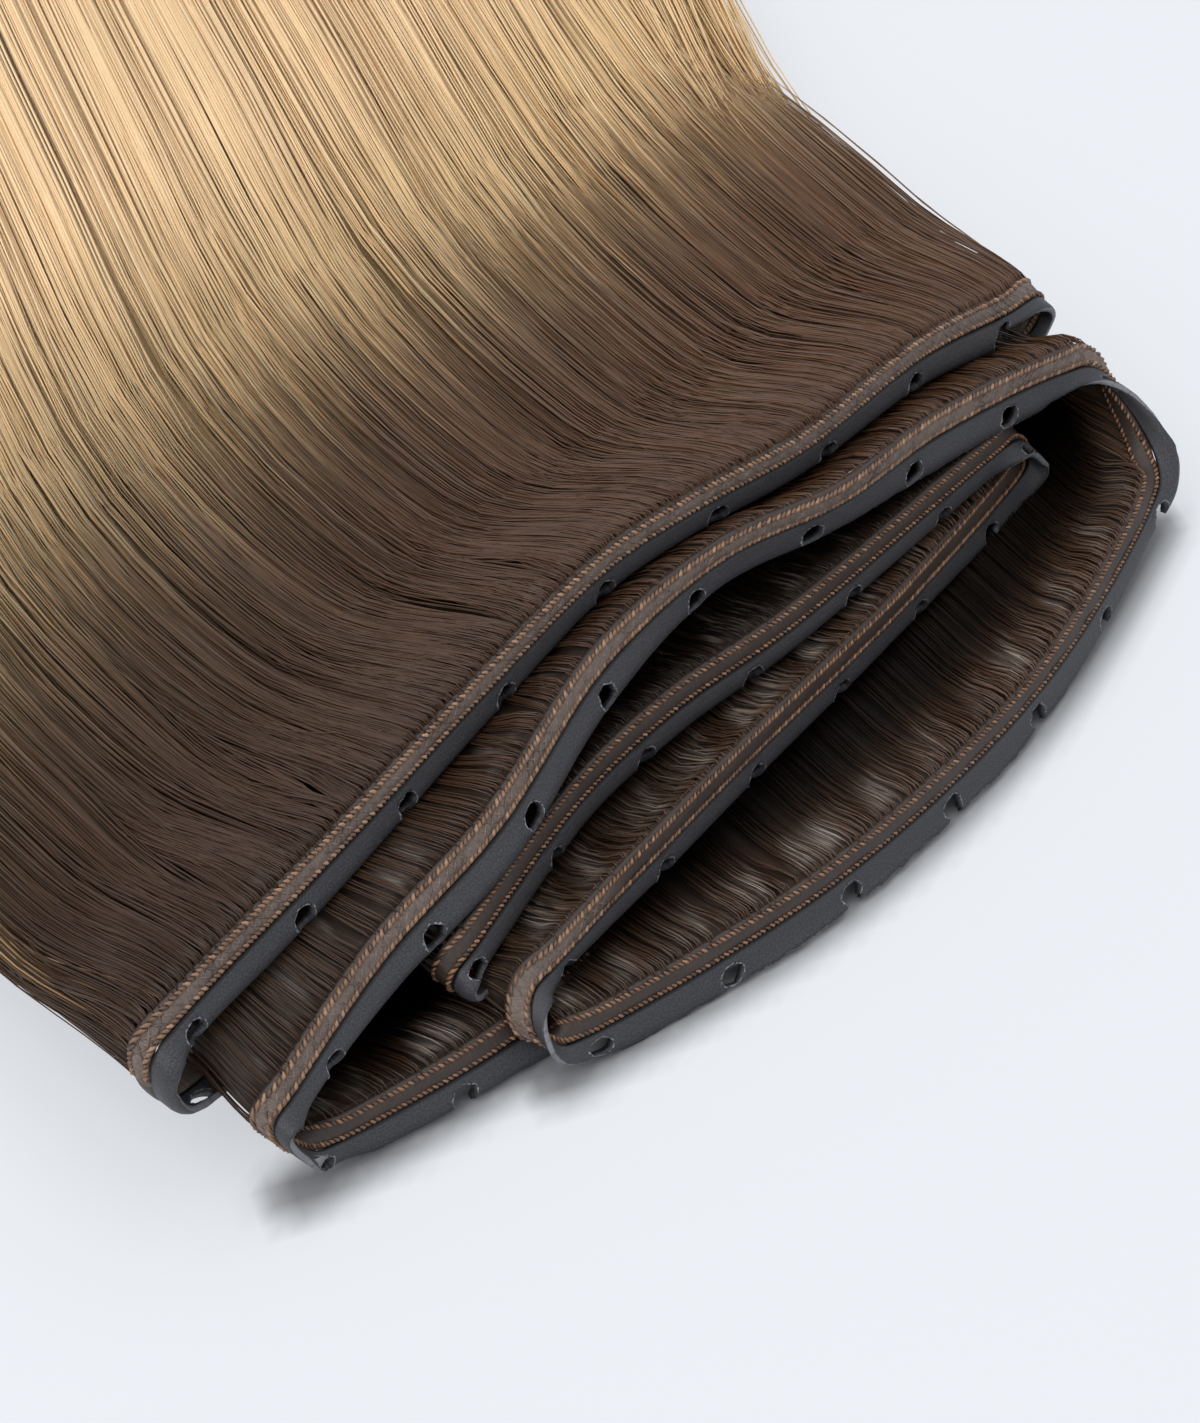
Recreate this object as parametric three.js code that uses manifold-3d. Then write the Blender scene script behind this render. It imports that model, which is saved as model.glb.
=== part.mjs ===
// A butterfly weft hair extension, folded back and forth and laid on a table.
// A narrow soft strip with a row of round holes is sewn along one edge to a stitched band, and the hair
// hangs from the other edge of that band. All lengths are millimetres, all angles degrees, and +Z is up.
// The hair runs along +Y, and the folded strip lies at the -Y end.
import * as THREE from "three";
import { mergeVertices } from "three/addons/utils/BufferGeometryUtils.js";
import Module from "manifold-3d";

// The strip with the holes
const STRIP_WIDTH = 3.6;
const STRIP_THICKNESS = 0.9;
const HOLE_PITCH = 15;
const HOLE_DIAMETER = 2;
const HOLE_FROM_EDGE = 1.4;
const HOLE_SIDES = 7;
const FIRST_HOLE = 4.2;

// The stitched band between the strip and the hair
const BAND_WIDTH = 2.1;
const BAND_THICKNESS = 1.4;
const PIECE_GAP = 0.3;

// The hair
const HAIR_LENGTH = 400;
const HAIR_HEADING = 120;
const STRAIGHT_HEADING = 90;
const BEND_LENGTH = 85;
const ROOT_THICKNESS = 1.4;
const LAYER_THICKNESS = 3;
const THICKEN_LENGTH = 40;
const CURTAIN_STEPS = [0, 3.6, 9, 20, 40];
const END_TUCK = 3;
const ROOT_COLUMNS = 9;
const BUNDLE_COLUMNS = 22;
const LOCKS = 11;
const LOCK_RELIEF = 2;
const BUNDLE_START = 46;
const BUNDLE_FULL = 95;
const TIP_START = 320;
const TIP_SHORTENINGS = [0, 18, 36, 9, 27];
const PILE_LEFT = -56;
const PILE_RIGHT = 60;
const RIGHT_FAN = 14;
const CROWN_POWER = 3;
const SIDE_HEIGHT = 0.6;
const LEAST_HEIGHT = 1;
const START_HEIGHT = 0.86;

// Middle of the whole pile in the table's own places, which becomes the part's origin
const PILE_MIDDLE = { x: -5.44, y: 184.33 };

// How finely the folded strip is stepped
const LONGEST_STEP = 9;
const SHARPEST_TURN = 20;
const FINE_STEPS = 60;
const SWEEP_STEPS = 24;
const LEAST_STEP = 0.06;

// The seam line between strip and band, run by run from one free end to the other. A row is a station: its
// place, and its lean, which is how steeply the hair side points up there.
const RUNS = {
  topTail: [
    { x: 38, y: 13.5, z: 12.6, lean: 8 },
    { x: 50, y: 20.5, z: 13, lean: 8 },
  ],
  top: [
    { x: 51, y: 20.5, z: 20, lean: 66 },
    { x: 38.5, y: 13.5, z: 23.5, lean: 76 },
    { x: 21, y: 2.5, z: 25.5, lean: 86 },
    { x: 8.5, y: -2.5, z: 26.3, lean: 86 },
    { x: -2, y: -7, z: 26, lean: 84 },
    { x: -17.5, y: -16.5, z: 23.5, lean: 76 },
    { x: -34, y: -28, z: 21.5, lean: 68 },
    { x: -54, y: -41.5, z: 19, lean: 60 },
  ],
  underTail: [
    { x: -52.5, y: -40, z: 9, lean: 8 },
    { x: -17, y: -14.5, z: 6.8, lean: 4 },
    { x: 33, y: 13.5, z: 6.8, lean: 4 },
  ],
  floor: [
    { x: 31, y: 3.5, z: 2.2, lean: 6 },
    { x: -8, y: -31, z: 2, lean: 14 },
    { x: -24, y: -40.2, z: 3.6, lean: 66 },
    { x: -41.5, y: -45.8, z: 4, lean: 78 },
  ],
  middle: [
    { x: -45.5, y: -46, z: 11, lean: 62 },
    { x: -33.5, y: -36.5, z: 15, lean: 58 },
    { x: -20, y: -28, z: 18, lean: 56 },
    { x: -5, y: -14.5, z: 21, lean: 62 },
    { x: 10, y: -5.5, z: 22, lean: 86 },
    { x: 23.5, y: -1.5, z: 21.5, lean: 90 },
    { x: 37.5, y: 6.5, z: 19.5, lean: 72 },
    { x: 54.5, y: 14, z: 16.5, lean: 76 },
  ],
  front: [
    { x: 60, y: 3, z: 5.4, lean: 62 },
    { x: 39.5, y: -15.5, z: 4, lean: 74 },
    { x: 11.5, y: -32, z: 3.9, lean: 76 },
    { x: -17, y: -41.8, z: 3.9, lean: 70 },
  ],
  inner: [
    { x: -18, y: -37, z: 8.8, lean: 74 },
    { x: 5.5, y: -21, z: 9.5, lean: 74 },
    { x: 29.4, y: -4.2, z: 7.7, lean: 78 },
    { x: 50.4, y: 12.6, z: 5.4, lean: 60 },
  ],
  upperInner: [
    { x: 46.3, y: 10, z: 12, lean: 78 },
    { x: 16, y: -8, z: 13, lean: 76 },
    { x: 2, y: -14.5, z: 13, lean: 70 },
    { x: -10, y: -22, z: 12.6, lean: 72 },
    { x: -25.7, y: -35.6, z: 11, lean: 56 },
  ],
  lowerTail: [
    { x: -25, y: -34.5, z: 7, lean: 10 },
    { x: -15, y: -27, z: 6.8, lean: 6 },
  ],
};

// The fold after each run: how far it swings out past the runs' ends, and its lean at the tip
const FOLDS = {
  topTail: { reach: 8, lean: 5 },
  top: { reach: 3, lean: 5 },
  underTail: { reach: 6, lean: 5 },
  floor: { reach: 2.6, lean: 0 },
  middle: { reach: 6, lean: 5 },
  front: { reach: 4, lean: 0 },
  inner: { reach: 3, lean: 8 },
  upperInner: { reach: 2, lean: 5 },
};

// A fold's two shoulders, as shares of the way from the run's end to the fold's tip
const SHOULDER = { place: 0.12, reach: 0.72, lean: 0.6 };

// The hair of each run that shows: its level in the pile, where 0 is the table and 1 the top, how soon it
// settles there, and how far back it goes into the bundle
const LAYERS = [
  { run: "floor", level: 0.06, settle: 14, reach: 82 },
  { run: "front", level: 0.16, settle: 9, reach: 82 },
  { run: "inner", level: 0.34, settle: 4.6, reach: 74 },
  { run: "upperInner", level: 0.53, settle: 7, reach: 70 },
  { run: "middle", level: 0.71, settle: 10, reach: 66 },
  { run: "top", level: 0.92, settle: 42, reach: 72 },
];

// The bundle's underside, flat on the table
const TABLE_LAYER = { level: 0, settle: 1 };

// Height of the pile behind the top run, by distance along the hair
const PILE_HEIGHT = [
  { along: 0, height: 27 },
  { along: 25, height: 26 },
  { along: 60, height: 22 },
  { along: 120, height: 18 },
  { along: 220, height: 14 },
  { along: 330, height: 9 },
  { along: 400, height: 3 },
];

const wasm = await Module();
wasm.setup();

const radians = THREE.MathUtils.degToRad;
const lerp = THREE.MathUtils.lerp;
const smoothstep = THREE.MathUtils.smoothstep;

// Straight steps between the rows of a table
function tableValue(table, along) {
  const last = table.length - 1;
  for (let i = 0; i < last; i++) {
    const [from, to] = [table[i], table[i + 1]];
    if (along <= to.along) {
      return lerp(from.height, to.height, (along - from.along) / (to.along - from.along));
    }
  }
  return table[last].height;
}

const vectorOf = (row) => new THREE.Vector3(row.x, row.y, row.z);

// Three knots that swing a fold out past the end of one run and back to the start of the next
function foldKnots(before, after, fold) {
  const leave = vectorOf(before.at(-1));
  const arrive = vectorOf(after[0]);
  const out = leave.clone().sub(vectorOf(before.at(-2)));
  out.normalize();
  const back = arrive.clone().sub(vectorOf(after[1]));
  back.normalize();
  out.add(back);
  out.normalize();
  const spread = arrive.clone().sub(leave);
  const swing = (share, reach, lean) => ({
    at: leave.clone().addScaledVector(spread, share).addScaledVector(out, reach),
    lean,
  });
  return [
    swing(SHOULDER.place, SHOULDER.reach * fold.reach, lerp(before.at(-1).lean, fold.lean, SHOULDER.lean)),
    swing(0.5, fold.reach, fold.lean),
    swing(1 - SHOULDER.place, SHOULDER.reach * fold.reach, lerp(after[0].lean, fold.lean, SHOULDER.lean)),
  ];
}

// All knots of the strip, with the first and last knot of each run noted
const knots = [];
const runSpan = {};
const runNames = Object.keys(RUNS);
runNames.forEach((name, i) => {
  const first = knots.length;
  RUNS[name].forEach((row) => knots.push({ at: vectorOf(row), lean: row.lean }));
  runSpan[name] = { first, last: knots.length - 1 };
  if (FOLDS[name]) {
    knots.push(...foldKnots(RUNS[name], RUNS[runNames[i + 1]], FOLDS[name]));
  }
});
const seamCurve = new THREE.CatmullRomCurve3(knots.map((knot) => knot.at));

// The strip's own frame at a knot number: its place, its way along, towards the hair, and out of its face
function frameAt(knotNumber) {
  const share = knotNumber / (knots.length - 1);
  const at = seamCurve.getPoint(share);
  const along = seamCurve.getTangent(share);
  const low = Math.min(Math.floor(knotNumber), knots.length - 2);
  const lean = radians(lerp(knots[low].lean, knots[low + 1].lean, knotNumber - low));
  const heading = radians(HAIR_HEADING);
  const flat = Math.cos(lean);
  const hairwards = new THREE.Vector3(flat * Math.cos(heading), flat * Math.sin(heading), Math.sin(lean));
  hairwards.addScaledVector(along, -hairwards.dot(along));
  hairwards.normalize();
  const face = along.clone().cross(hairwards);
  return { at, along, hairwards, face };
}

// Stations along the whole strip: far apart on the runs, close together round the folds
function stripStations() {
  const count = (knots.length - 1) * FINE_STEPS;
  const kept = [];
  let length = 0;
  let previous = null;
  for (let i = 0; i <= count; i++) {
    const frame = frameAt(i / FINE_STEPS);
    length += previous ? frame.at.distanceTo(previous.at) : 0;
    previous = frame;
    const last = kept.at(-1);
    const far = !last || length - last.length >= LONGEST_STEP;
    const bend = last ? last.along.angleTo(frame.along) : 0;
    const twist = last ? last.hairwards.angleTo(frame.hairwards) : 0;
    const turned = Math.max(bend, twist) >= radians(SHARPEST_TURN);
    if (far || turned || i === count) {
      kept.push({ ...frame, length });
    }
  }
  return kept;
}

// A closed solid through rings of equal size, each ring an upper row followed by a lower row backwards
function loft(rings) {
  const size = rings[0].length;
  const half = size / 2;
  const positions = rings.flat().flatMap((p) => [p.x, p.y, p.z]);
  const faces = [];
  const quad = (a, b, c, d) => faces.push(a, b, c, a, c, d);
  for (let r = 0; r + 1 < rings.length; r++) {
    for (let k = 0; k < size; k++) {
      const next = (k + 1) % size;
      quad(r * size + k, r * size + next, (r + 1) * size + next, (r + 1) * size + k);
    }
  }
  const end = (rings.length - 1) * size;
  for (let k = 0; k + 1 < half; k++) {
    const across = size - 1 - k;
    quad(k, across, across - 1, k + 1);
    quad(end + k, end + k + 1, end + across - 1, end + across);
  }
  const geometry = new THREE.BufferGeometry();
  geometry.setAttribute("position", new THREE.Float32BufferAttribute(positions, 3));
  geometry.setIndex(faces);
  return geometry;
}

// The solid of a closed geometry, for joining and cutting
function solidOf(geometry) {
  geometry.deleteAttribute("normal");
  geometry.deleteAttribute("uv");
  const merged = mergeVertices(geometry);
  const mesh = new wasm.Mesh({
    numProp: 3,
    vertProperties: merged.getAttribute("position").array,
    triVerts: new Uint32Array(merged.index.array),
  });
  return new wasm.Manifold(mesh);
}

// The main body of a solid, without the crumbs a cut leaves
function mainBody(solid) {
  const bodies = solid.decompose();
  bodies.sort((a, b) => b.volume() - a.volume());
  return bodies[0];
}

function meshOf(name, solid, material) {
  const made = mainBody(solid).getMesh();
  const geometry = new THREE.BufferGeometry();
  geometry.setAttribute("position", new THREE.BufferAttribute(made.vertProperties, 3));
  geometry.setIndex(new THREE.BufferAttribute(made.triVerts, 1));
  geometry.computeVertexNormals();
  const mesh = new THREE.Mesh(geometry, material);
  mesh.name = name;
  return mesh;
}

// Rings across the strip between two distances from the seam towards the hair. Round the tightest folds a
// corner is held from slipping back past the one before it.
function ribbonRings(stations, from, to, thickness) {
  const rings = [];
  stations.forEach((station, i) => {
    const corner = (across, side) =>
      station.at
        .clone()
        .addScaledVector(station.hairwards, across)
        .addScaledVector(station.face, (side * thickness) / 2);
    const ring = [corner(from, -1), corner(to, -1), corner(to, 1), corner(from, 1)];
    if (i > 0) {
      const forward = stations[i - 1].along.clone().add(station.along).normalize();
      ring.forEach((p, k) => {
        const step = p.clone().sub(rings[i - 1][k]).dot(forward);
        p.addScaledVector(forward, Math.max(LEAST_STEP - step, 0));
      });
    }
    rings.push(ring);
  });
  return rings;
}

// A flat ribbon that follows the strip
function ribbon(stations, from, to, thickness) {
  return solidOf(loft(ribbonRings(stations, from, to, thickness)));
}

// Knot number at a distance along the strip
function knotNumberAt(length) {
  let travelled = 0;
  let previous = frameAt(0).at;
  const count = (knots.length - 1) * FINE_STEPS;
  for (let i = 1; i <= count; i++) {
    const at = frameAt(i / FINE_STEPS).at;
    travelled += at.distanceTo(previous);
    previous = at;
    if (travelled >= length) {
      return i / FINE_STEPS;
    }
  }
  return knots.length - 1;
}

// The round hole's cutter, standing across the strip at its place
function holeCutter(length) {
  const frame = frameAt(knotNumberAt(length));
  const geometry = new THREE.CylinderGeometry(
    HOLE_DIAMETER / 2,
    HOLE_DIAMETER / 2,
    3 * STRIP_THICKNESS,
    HOLE_SIDES,
  );
  const basis = new THREE.Matrix4().makeBasis(frame.along, frame.face, frame.hairwards.clone().negate());
  const place = frame.at.clone().addScaledVector(frame.hairwards, HOLE_FROM_EDGE - STRIP_WIDTH);
  basis.setPosition(place);
  geometry.applyMatrix4(basis);
  return solidOf(geometry);
}

function holeStrip(stations) {
  const length = stations.at(-1).length;
  let strip = ribbon(stations, -STRIP_WIDTH, 0, STRIP_THICKNESS);
  for (let at = FIRST_HOLE; at < length - HOLE_DIAMETER; at += HOLE_PITCH) {
    strip = strip.subtract(holeCutter(at));
  }
  return strip;
}

function stitchBand(stations) {
  return ribbon(stations, PIECE_GAP, PIECE_GAP + BAND_WIDTH, BAND_THICKNESS);
}

// How far the hair has swept over the table, by its distance from the root: it leaves square to the strip,
// and bends round until it runs along +Y
function sweep(fan, along) {
  const moved = new THREE.Vector2();
  for (let i = 0; i < SWEEP_STEPS; i++) {
    const distance = (along * (i + 0.5)) / SWEEP_STEPS;
    const heading = radians(STRAIGHT_HEADING + fan * (1 - smoothstep(distance, 0, BEND_LENGTH)));
    moved.x += (Math.cos(heading) * along) / SWEEP_STEPS;
    moved.y += (Math.sin(heading) * along) / SWEEP_STEPS;
  }
  return moved;
}

// Roots of a run's hair from right to left, just clear of the band's upper edge
function rootPoints(run, columns) {
  const { first, last } = runSpan[run];
  const reach = 3 * PIECE_GAP + BAND_WIDTH + ROOT_THICKNESS / 2;
  const roots = Array.from({ length: columns + 1 }, (_, i) => {
    const frame = frameAt(lerp(first, last, i / columns));
    return frame.at.clone().addScaledVector(frame.hairwards, reach);
  });
  return roots.sort((a, b) => b.x - a.x);
}

// Share of the way across the pile, from its left end to its right
function shareAcross(root) {
  return THREE.MathUtils.clamp((root.x - PILE_LEFT) / (PILE_RIGHT - PILE_LEFT), 0, 1);
}

// The hair fans less towards the right end of the runs
function fanAt(root) {
  return lerp(HAIR_HEADING - STRAIGHT_HEADING, RIGHT_FAN, smoothstep(shareAcross(root), 0, 1));
}

// The pile is highest in its middle and falls off to its two sides
function pileHeight(share, along) {
  const crown = Math.sqrt(1 - Math.pow(Math.abs(2 * share - 1), CROWN_POWER));
  return tableValue(PILE_HEIGHT, along) * lerp(SIDE_HEIGHT, 1, crown);
}

// A point of a run's hair: its root moved along the sweep, settling from its own height to its layer's
function hairPoint(root, along, layer) {
  const moved = sweep(fanAt(root), along);
  const layerHeight = layer.level * pileHeight(shareAcross(root), along);
  const height = lerp(root.z, layerHeight, smoothstep(along, 0, layer.settle));
  return new THREE.Vector3(root.x + moved.x, root.y + moved.y, height);
}

// The hair of one run, from its roots back into the bundle
function rootCurtain(layer) {
  const roots = rootPoints(layer.run, ROOT_COLUMNS);
  const rings = [...CURTAIN_STEPS, layer.reach].map((along) => {
    const thickness = lerp(ROOT_THICKNESS, LAYER_THICKNESS, smoothstep(along, 0, THICKEN_LENGTH));
    const tuck = along === layer.reach ? END_TUCK : 0;
    const row = roots.map((root) => hairPoint(root, along, layer));
    const shifted = (side) =>
      row.map((p) => new THREE.Vector3(p.x, p.y, Math.max(p.z - tuck + (side * thickness) / 2, 0)));
    return [...shifted(1), ...shifted(-1).reverse()];
  });
  return solidOf(loft(rings.reverse()));
}

// The bundle's top, ridged by the locks, which comes up out of the top run's hair
function bundleHeight(share, along) {
  const risen = smoothstep(along, BUNDLE_START, BUNDLE_FULL);
  const ridge = LOCK_RELIEF * risen * (Math.abs(Math.sin(Math.PI * LOCKS * share)) - 1);
  return Math.max(pileHeight(share, along) * lerp(START_HEIGHT, 1, risen) + ridge, LEAST_HEIGHT);
}

// The main bundle, lying flat on the table behind the folded strip
function bundle(roots) {
  const rings = [BUNDLE_START, 70, BUNDLE_FULL, 130, 190, 260, TIP_START].map((along) => {
    const row = roots.map((root) => hairPoint(root, along, TABLE_LAYER));
    const upper = row.map((p, i) => {
      const height = bundleHeight(i / BUNDLE_COLUMNS, along);
      return new THREE.Vector3(p.x, p.y, height);
    });
    const lower = row.map((p) => new THREE.Vector3(p.x, p.y, 0));
    return [...upper, ...lower.reverse()];
  });
  return solidOf(loft(rings.reverse()));
}

// One lock's tapered end, from inside the bundle to its tip
function lockTip(roots, lock) {
  const steps = [
    { along: TIP_START - 14, width: 0.98, height: 0.9 },
    { along: TIP_START + 20, width: 0.8, height: 0.84 },
    { along: TIP_START + 55, width: 0.5, height: 0.6 },
    { along: HAIR_LENGTH, width: 0.12, height: 0.5 },
  ];
  const shorter = TIP_SHORTENINGS[lock % TIP_SHORTENINGS.length];
  const left = hairPointAcross(roots, lock / LOCKS);
  const right = hairPointAcross(roots, (lock + 1) / LOCKS);
  const rings = steps.map((step) => {
    const along = step.along - (step.along > TIP_START ? shorter : 0);
    const a = hairPoint(left, along, TABLE_LAYER);
    const b = hairPoint(right, along, TABLE_LAYER);
    const middle = a.clone().lerp(b, 0.5);
    const halfway = b.clone().sub(a).multiplyScalar(step.width / 2);
    const height = step.height * bundleHeight((lock + 0.5) / LOCKS, along);
    const corner = (across, lift) =>
      new THREE.Vector3(middle.x + across * halfway.x, middle.y + across * halfway.y, lift * height);
    return [corner(-1, 0.55), corner(0, 1), corner(1, 0.55), corner(1, 0), corner(0, 0), corner(-1, 0)];
  });
  return solidOf(loft(rings.reverse()));
}

// A root between the sampled ones
function hairPointAcross(roots, share) {
  const place = share * (roots.length - 1);
  const low = Math.min(Math.floor(place), roots.length - 2);
  return roots[low].clone().lerp(roots[low + 1], place - low);
}

// Curtains, bundle and lock tips in one body, cleared where the strip and the band pass
function hair(stations) {
  const topRoots = rootPoints("top", BUNDLE_COLUMNS);
  let body = bundle(topRoots);
  for (let lock = 0; lock < LOCKS; lock++) {
    body = body.add(lockTip(topRoots, lock));
  }
  for (const layer of LAYERS) {
    body = body.add(rootCurtain(layer));
  }
  const clearance = 2 * PIECE_GAP;
  const stripRoom = ribbon(stations, -STRIP_WIDTH - PIECE_GAP, PIECE_GAP, STRIP_THICKNESS + clearance);
  const bandRoom = ribbon(stations, 0, BAND_WIDTH + clearance, BAND_THICKNESS + clearance);
  return body.subtract(stripRoom).subtract(bandRoom);
}

const stripFinish = new THREE.MeshStandardMaterial({ color: 0x3b3b42, roughness: 0.5, metalness: 0 });
const bandFinish = new THREE.MeshStandardMaterial({ color: 0x6e5644, roughness: 0.7, metalness: 0 });
const hairFinish = new THREE.MeshStandardMaterial({ color: 0xa5875f, roughness: 0.45, metalness: 0 });

const stations = stripStations();
const weft = new THREE.Group();
weft.add(meshOf("hole_strip", holeStrip(stations), stripFinish));
weft.add(meshOf("stitch_band", stitchBand(stations), bandFinish));
weft.add(meshOf("hair", hair(stations), hairFinish));
weft.position.set(-PILE_MIDDLE.x, -PILE_MIDDLE.y, 0);

export default weft;
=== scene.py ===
# %% [markdown]
# # A butterfly weft hair extension
# A weft is a long narrow band with hair sewn along one edge. On this kind a soft strip with a row of round
# holes runs along the other edge. The weft lies on a table, folded back and forth into a pile. The packed
# model is loaded first, because every piece made here stands exactly where its solid is.

# %% Load the frame
import math
from collections import namedtuple

import bmesh
import bpy
import numpy as np
from mathutils import Matrix, Vector


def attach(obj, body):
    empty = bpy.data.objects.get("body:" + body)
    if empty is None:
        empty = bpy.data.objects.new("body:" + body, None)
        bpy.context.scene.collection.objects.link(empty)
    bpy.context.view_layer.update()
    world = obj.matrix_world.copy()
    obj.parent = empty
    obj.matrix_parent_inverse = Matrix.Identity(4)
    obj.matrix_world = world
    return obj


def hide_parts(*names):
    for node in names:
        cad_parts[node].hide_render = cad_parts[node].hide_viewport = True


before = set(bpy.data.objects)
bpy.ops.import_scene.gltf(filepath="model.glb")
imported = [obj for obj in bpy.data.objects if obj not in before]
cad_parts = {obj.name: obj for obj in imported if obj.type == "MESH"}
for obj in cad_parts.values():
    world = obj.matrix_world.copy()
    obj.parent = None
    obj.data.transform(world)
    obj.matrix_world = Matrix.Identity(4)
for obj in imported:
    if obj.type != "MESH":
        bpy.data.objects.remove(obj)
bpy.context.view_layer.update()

# %% [markdown]
# ## Sizes
# The solids were driven by a few real sizes, and the looks follow the same ones. They are written in
# millimetres, as a maker would, and one factor turns them into Blender's metres.

# %% Driving sizes
MM = 0.001
STRIP_WIDTH = 3.6 * MM
STRIP_THICKNESS = 0.8 * MM
HOLE_PITCH = 15 * MM
HOLE_RADIUS = 1.12 * MM
HOLE_DEPTH = STRIP_WIDTH - 1.4 * MM
FIRST_HOLE = 4.2 * MM
HOLE_STRETCH = 1.12
BAND_START = 0.1 * MM
BAND_END = 2.45 * MM
BAND_THICKNESS = 1.15 * MM
HAIR_LENGTH = 400 * MM
HAIR_HEADING = math.radians(120)
STRAIGHT_HEADING = math.radians(90)
PILE_MIDDLE = np.array([-5.44, 184.33, 0]) * MM
dice = np.random.default_rng(7)

# %% [markdown]
# ## The line that everything follows
# Strip, band and hair all hang on one line, the seam between strip and band. It is a smooth curve through a
# short table of stations. A station's lean says how steeply the hair side points up there. Between two runs
# the weft folds back, and a fold is given by how far it swings out and by its lean at the tip.

# %% Stations and folds
Station = namedtuple("Station", "x y z lean")
Fold = namedtuple("Fold", "reach lean")
RUNS = {
    "topTail": [Station(38, 13.5, 12.6, 8), Station(50, 20.5, 13, 8)],
    "top": [
        Station(51, 20.5, 20, 66),
        Station(38.5, 13.5, 23.5, 76),
        Station(21, 2.5, 25.5, 86),
        Station(8.5, -2.5, 26.3, 86),
        Station(-2, -7, 26, 84),
        Station(-17.5, -16.5, 23.5, 76),
        Station(-34, -28, 21.5, 68),
        Station(-54, -41.5, 19, 60),
    ],
    "underTail": [Station(-52.5, -40, 9, 8), Station(-17, -14.5, 6.8, 4), Station(33, 13.5, 6.8, 4)],
    "floor": [
        Station(31, 3.5, 2.2, 6),
        Station(-8, -31, 2, 14),
        Station(-24, -40.2, 3.6, 66),
        Station(-41.5, -45.8, 4, 78),
    ],
    "middle": [
        Station(-45.5, -46, 11, 62),
        Station(-33.5, -36.5, 15, 58),
        Station(-20, -28, 18, 56),
        Station(-5, -14.5, 21, 62),
        Station(10, -5.5, 22, 86),
        Station(23.5, -1.5, 21.5, 90),
        Station(37.5, 6.5, 19.5, 72),
        Station(54.5, 14, 16.5, 76),
    ],
    "front": [
        Station(60, 3, 5.4, 62),
        Station(39.5, -15.5, 4, 74),
        Station(11.5, -32, 3.9, 76),
        Station(-17, -41.8, 3.9, 70),
    ],
    "inner": [
        Station(-18, -37, 8.8, 74),
        Station(5.5, -21, 9.5, 74),
        Station(29.4, -4.2, 7.7, 78),
        Station(50.4, 12.6, 5.4, 60),
    ],
    "upperInner": [
        Station(46.3, 10, 12, 78),
        Station(16, -8, 13, 76),
        Station(2, -14.5, 13, 70),
        Station(-10, -22, 12.6, 72),
        Station(-25.7, -35.6, 11, 56),
    ],
    "lowerTail": [Station(-25, -34.5, 7, 10), Station(-15, -27, 6.8, 6)],
}
FOLDS = {
    "topTail": Fold(8, 5),
    "top": Fold(3, 5),
    "underTail": Fold(6, 5),
    "floor": Fold(2.6, 0),
    "middle": Fold(6, 5),
    "front": Fold(4, 0),
    "inner": Fold(3, 8),
    "upperInner": Fold(2, 5),
}
SHOULDER_PLACE = 0.12
SHOULDER_REACH = 0.72
SHOULDER_LEAN = 0.6


def unit(vectors):
    return vectors / np.linalg.norm(vectors, axis=-1, keepdims=True)


def place(station):
    return np.array([station.x, station.y, station.z]) * MM - PILE_MIDDLE


def fold_knots(before, after, fold):
    """Three knots that swing out past the end of one run and back to the start of the next."""
    leave, arrive = place(before[-1]), place(after[0])
    out = unit(leave - place(before[-2])) + unit(arrive - place(after[1]))
    out = unit(out) * fold.reach * MM
    first_lean = before[-1].lean + SHOULDER_LEAN * (fold.lean - before[-1].lean)
    last_lean = after[0].lean + SHOULDER_LEAN * (fold.lean - after[0].lean)
    spread = arrive - leave
    return [
        (leave + SHOULDER_PLACE * spread + SHOULDER_REACH * out, first_lean),
        (leave + 0.5 * spread + out, fold.lean),
        (leave + (1 - SHOULDER_PLACE) * spread + SHOULDER_REACH * out, last_lean),
    ]


knots, run_span = [], {}
run_names = list(RUNS)
for number, run in enumerate(run_names):
    first = len(knots)
    knots += [(place(row), row.lean) for row in RUNS[run]]
    run_span[run] = (first, len(knots) - 1)
    if run in FOLDS:
        knots += fold_knots(RUNS[run], RUNS[run_names[number + 1]], FOLDS[run])
print(len(knots), "knots on the seam")

# %% [markdown]
# ## From knots to an even track
# A centripetal Catmull-Rom curve goes through every knot and doesn't loop between close ones. It is sampled
# finely and then walked at one even step, so that a distance along the weft is simply a place in an array.
# A light smoothing takes the jerk out of the folds, as soft material does.

# %% The seam as an even track
STEP = 0.2 * MM
CURVE_SAMPLES = 60
SMOOTHING = 1.0 * MM
BELL_REACH = 3
WANDER_VALUES = 4096


def curve_through(points):
    """Fine points on the centripetal curve through the given ones, and the knot number of each."""
    padded = np.vstack([2 * points[0] - points[1], points, 2 * points[-1] - points[-2]])
    fine, numbers = [], []
    share = np.linspace(0, 1, CURVE_SAMPLES, endpoint=False)[:, None]
    for i in range(len(points) - 1):
        p0, p1, p2, p3 = padded[i : i + 4]
        d0, d1, d2 = (np.linalg.norm(b - a) ** 0.5 for a, b in ((p0, p1), (p1, p2), (p2, p3)))
        leave = ((p1 - p0) / d0 - (p2 - p0) / (d0 + d1) + (p2 - p1) / d1) * d1
        arrive = ((p2 - p1) / d1 - (p3 - p1) / (d1 + d2) + (p3 - p2) / d2) * d1
        square = -3 * p1 + 3 * p2 - 2 * leave - arrive
        cube = 2 * p1 - 2 * p2 + leave + arrive
        fine.append(p1 + share * (leave + share * (square + share * cube)))
        numbers.append(i + share[:, 0])
    fine.append(points[-1:])
    numbers.append([len(points) - 1.0])
    return np.vstack(fine), np.concatenate(numbers)


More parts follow.
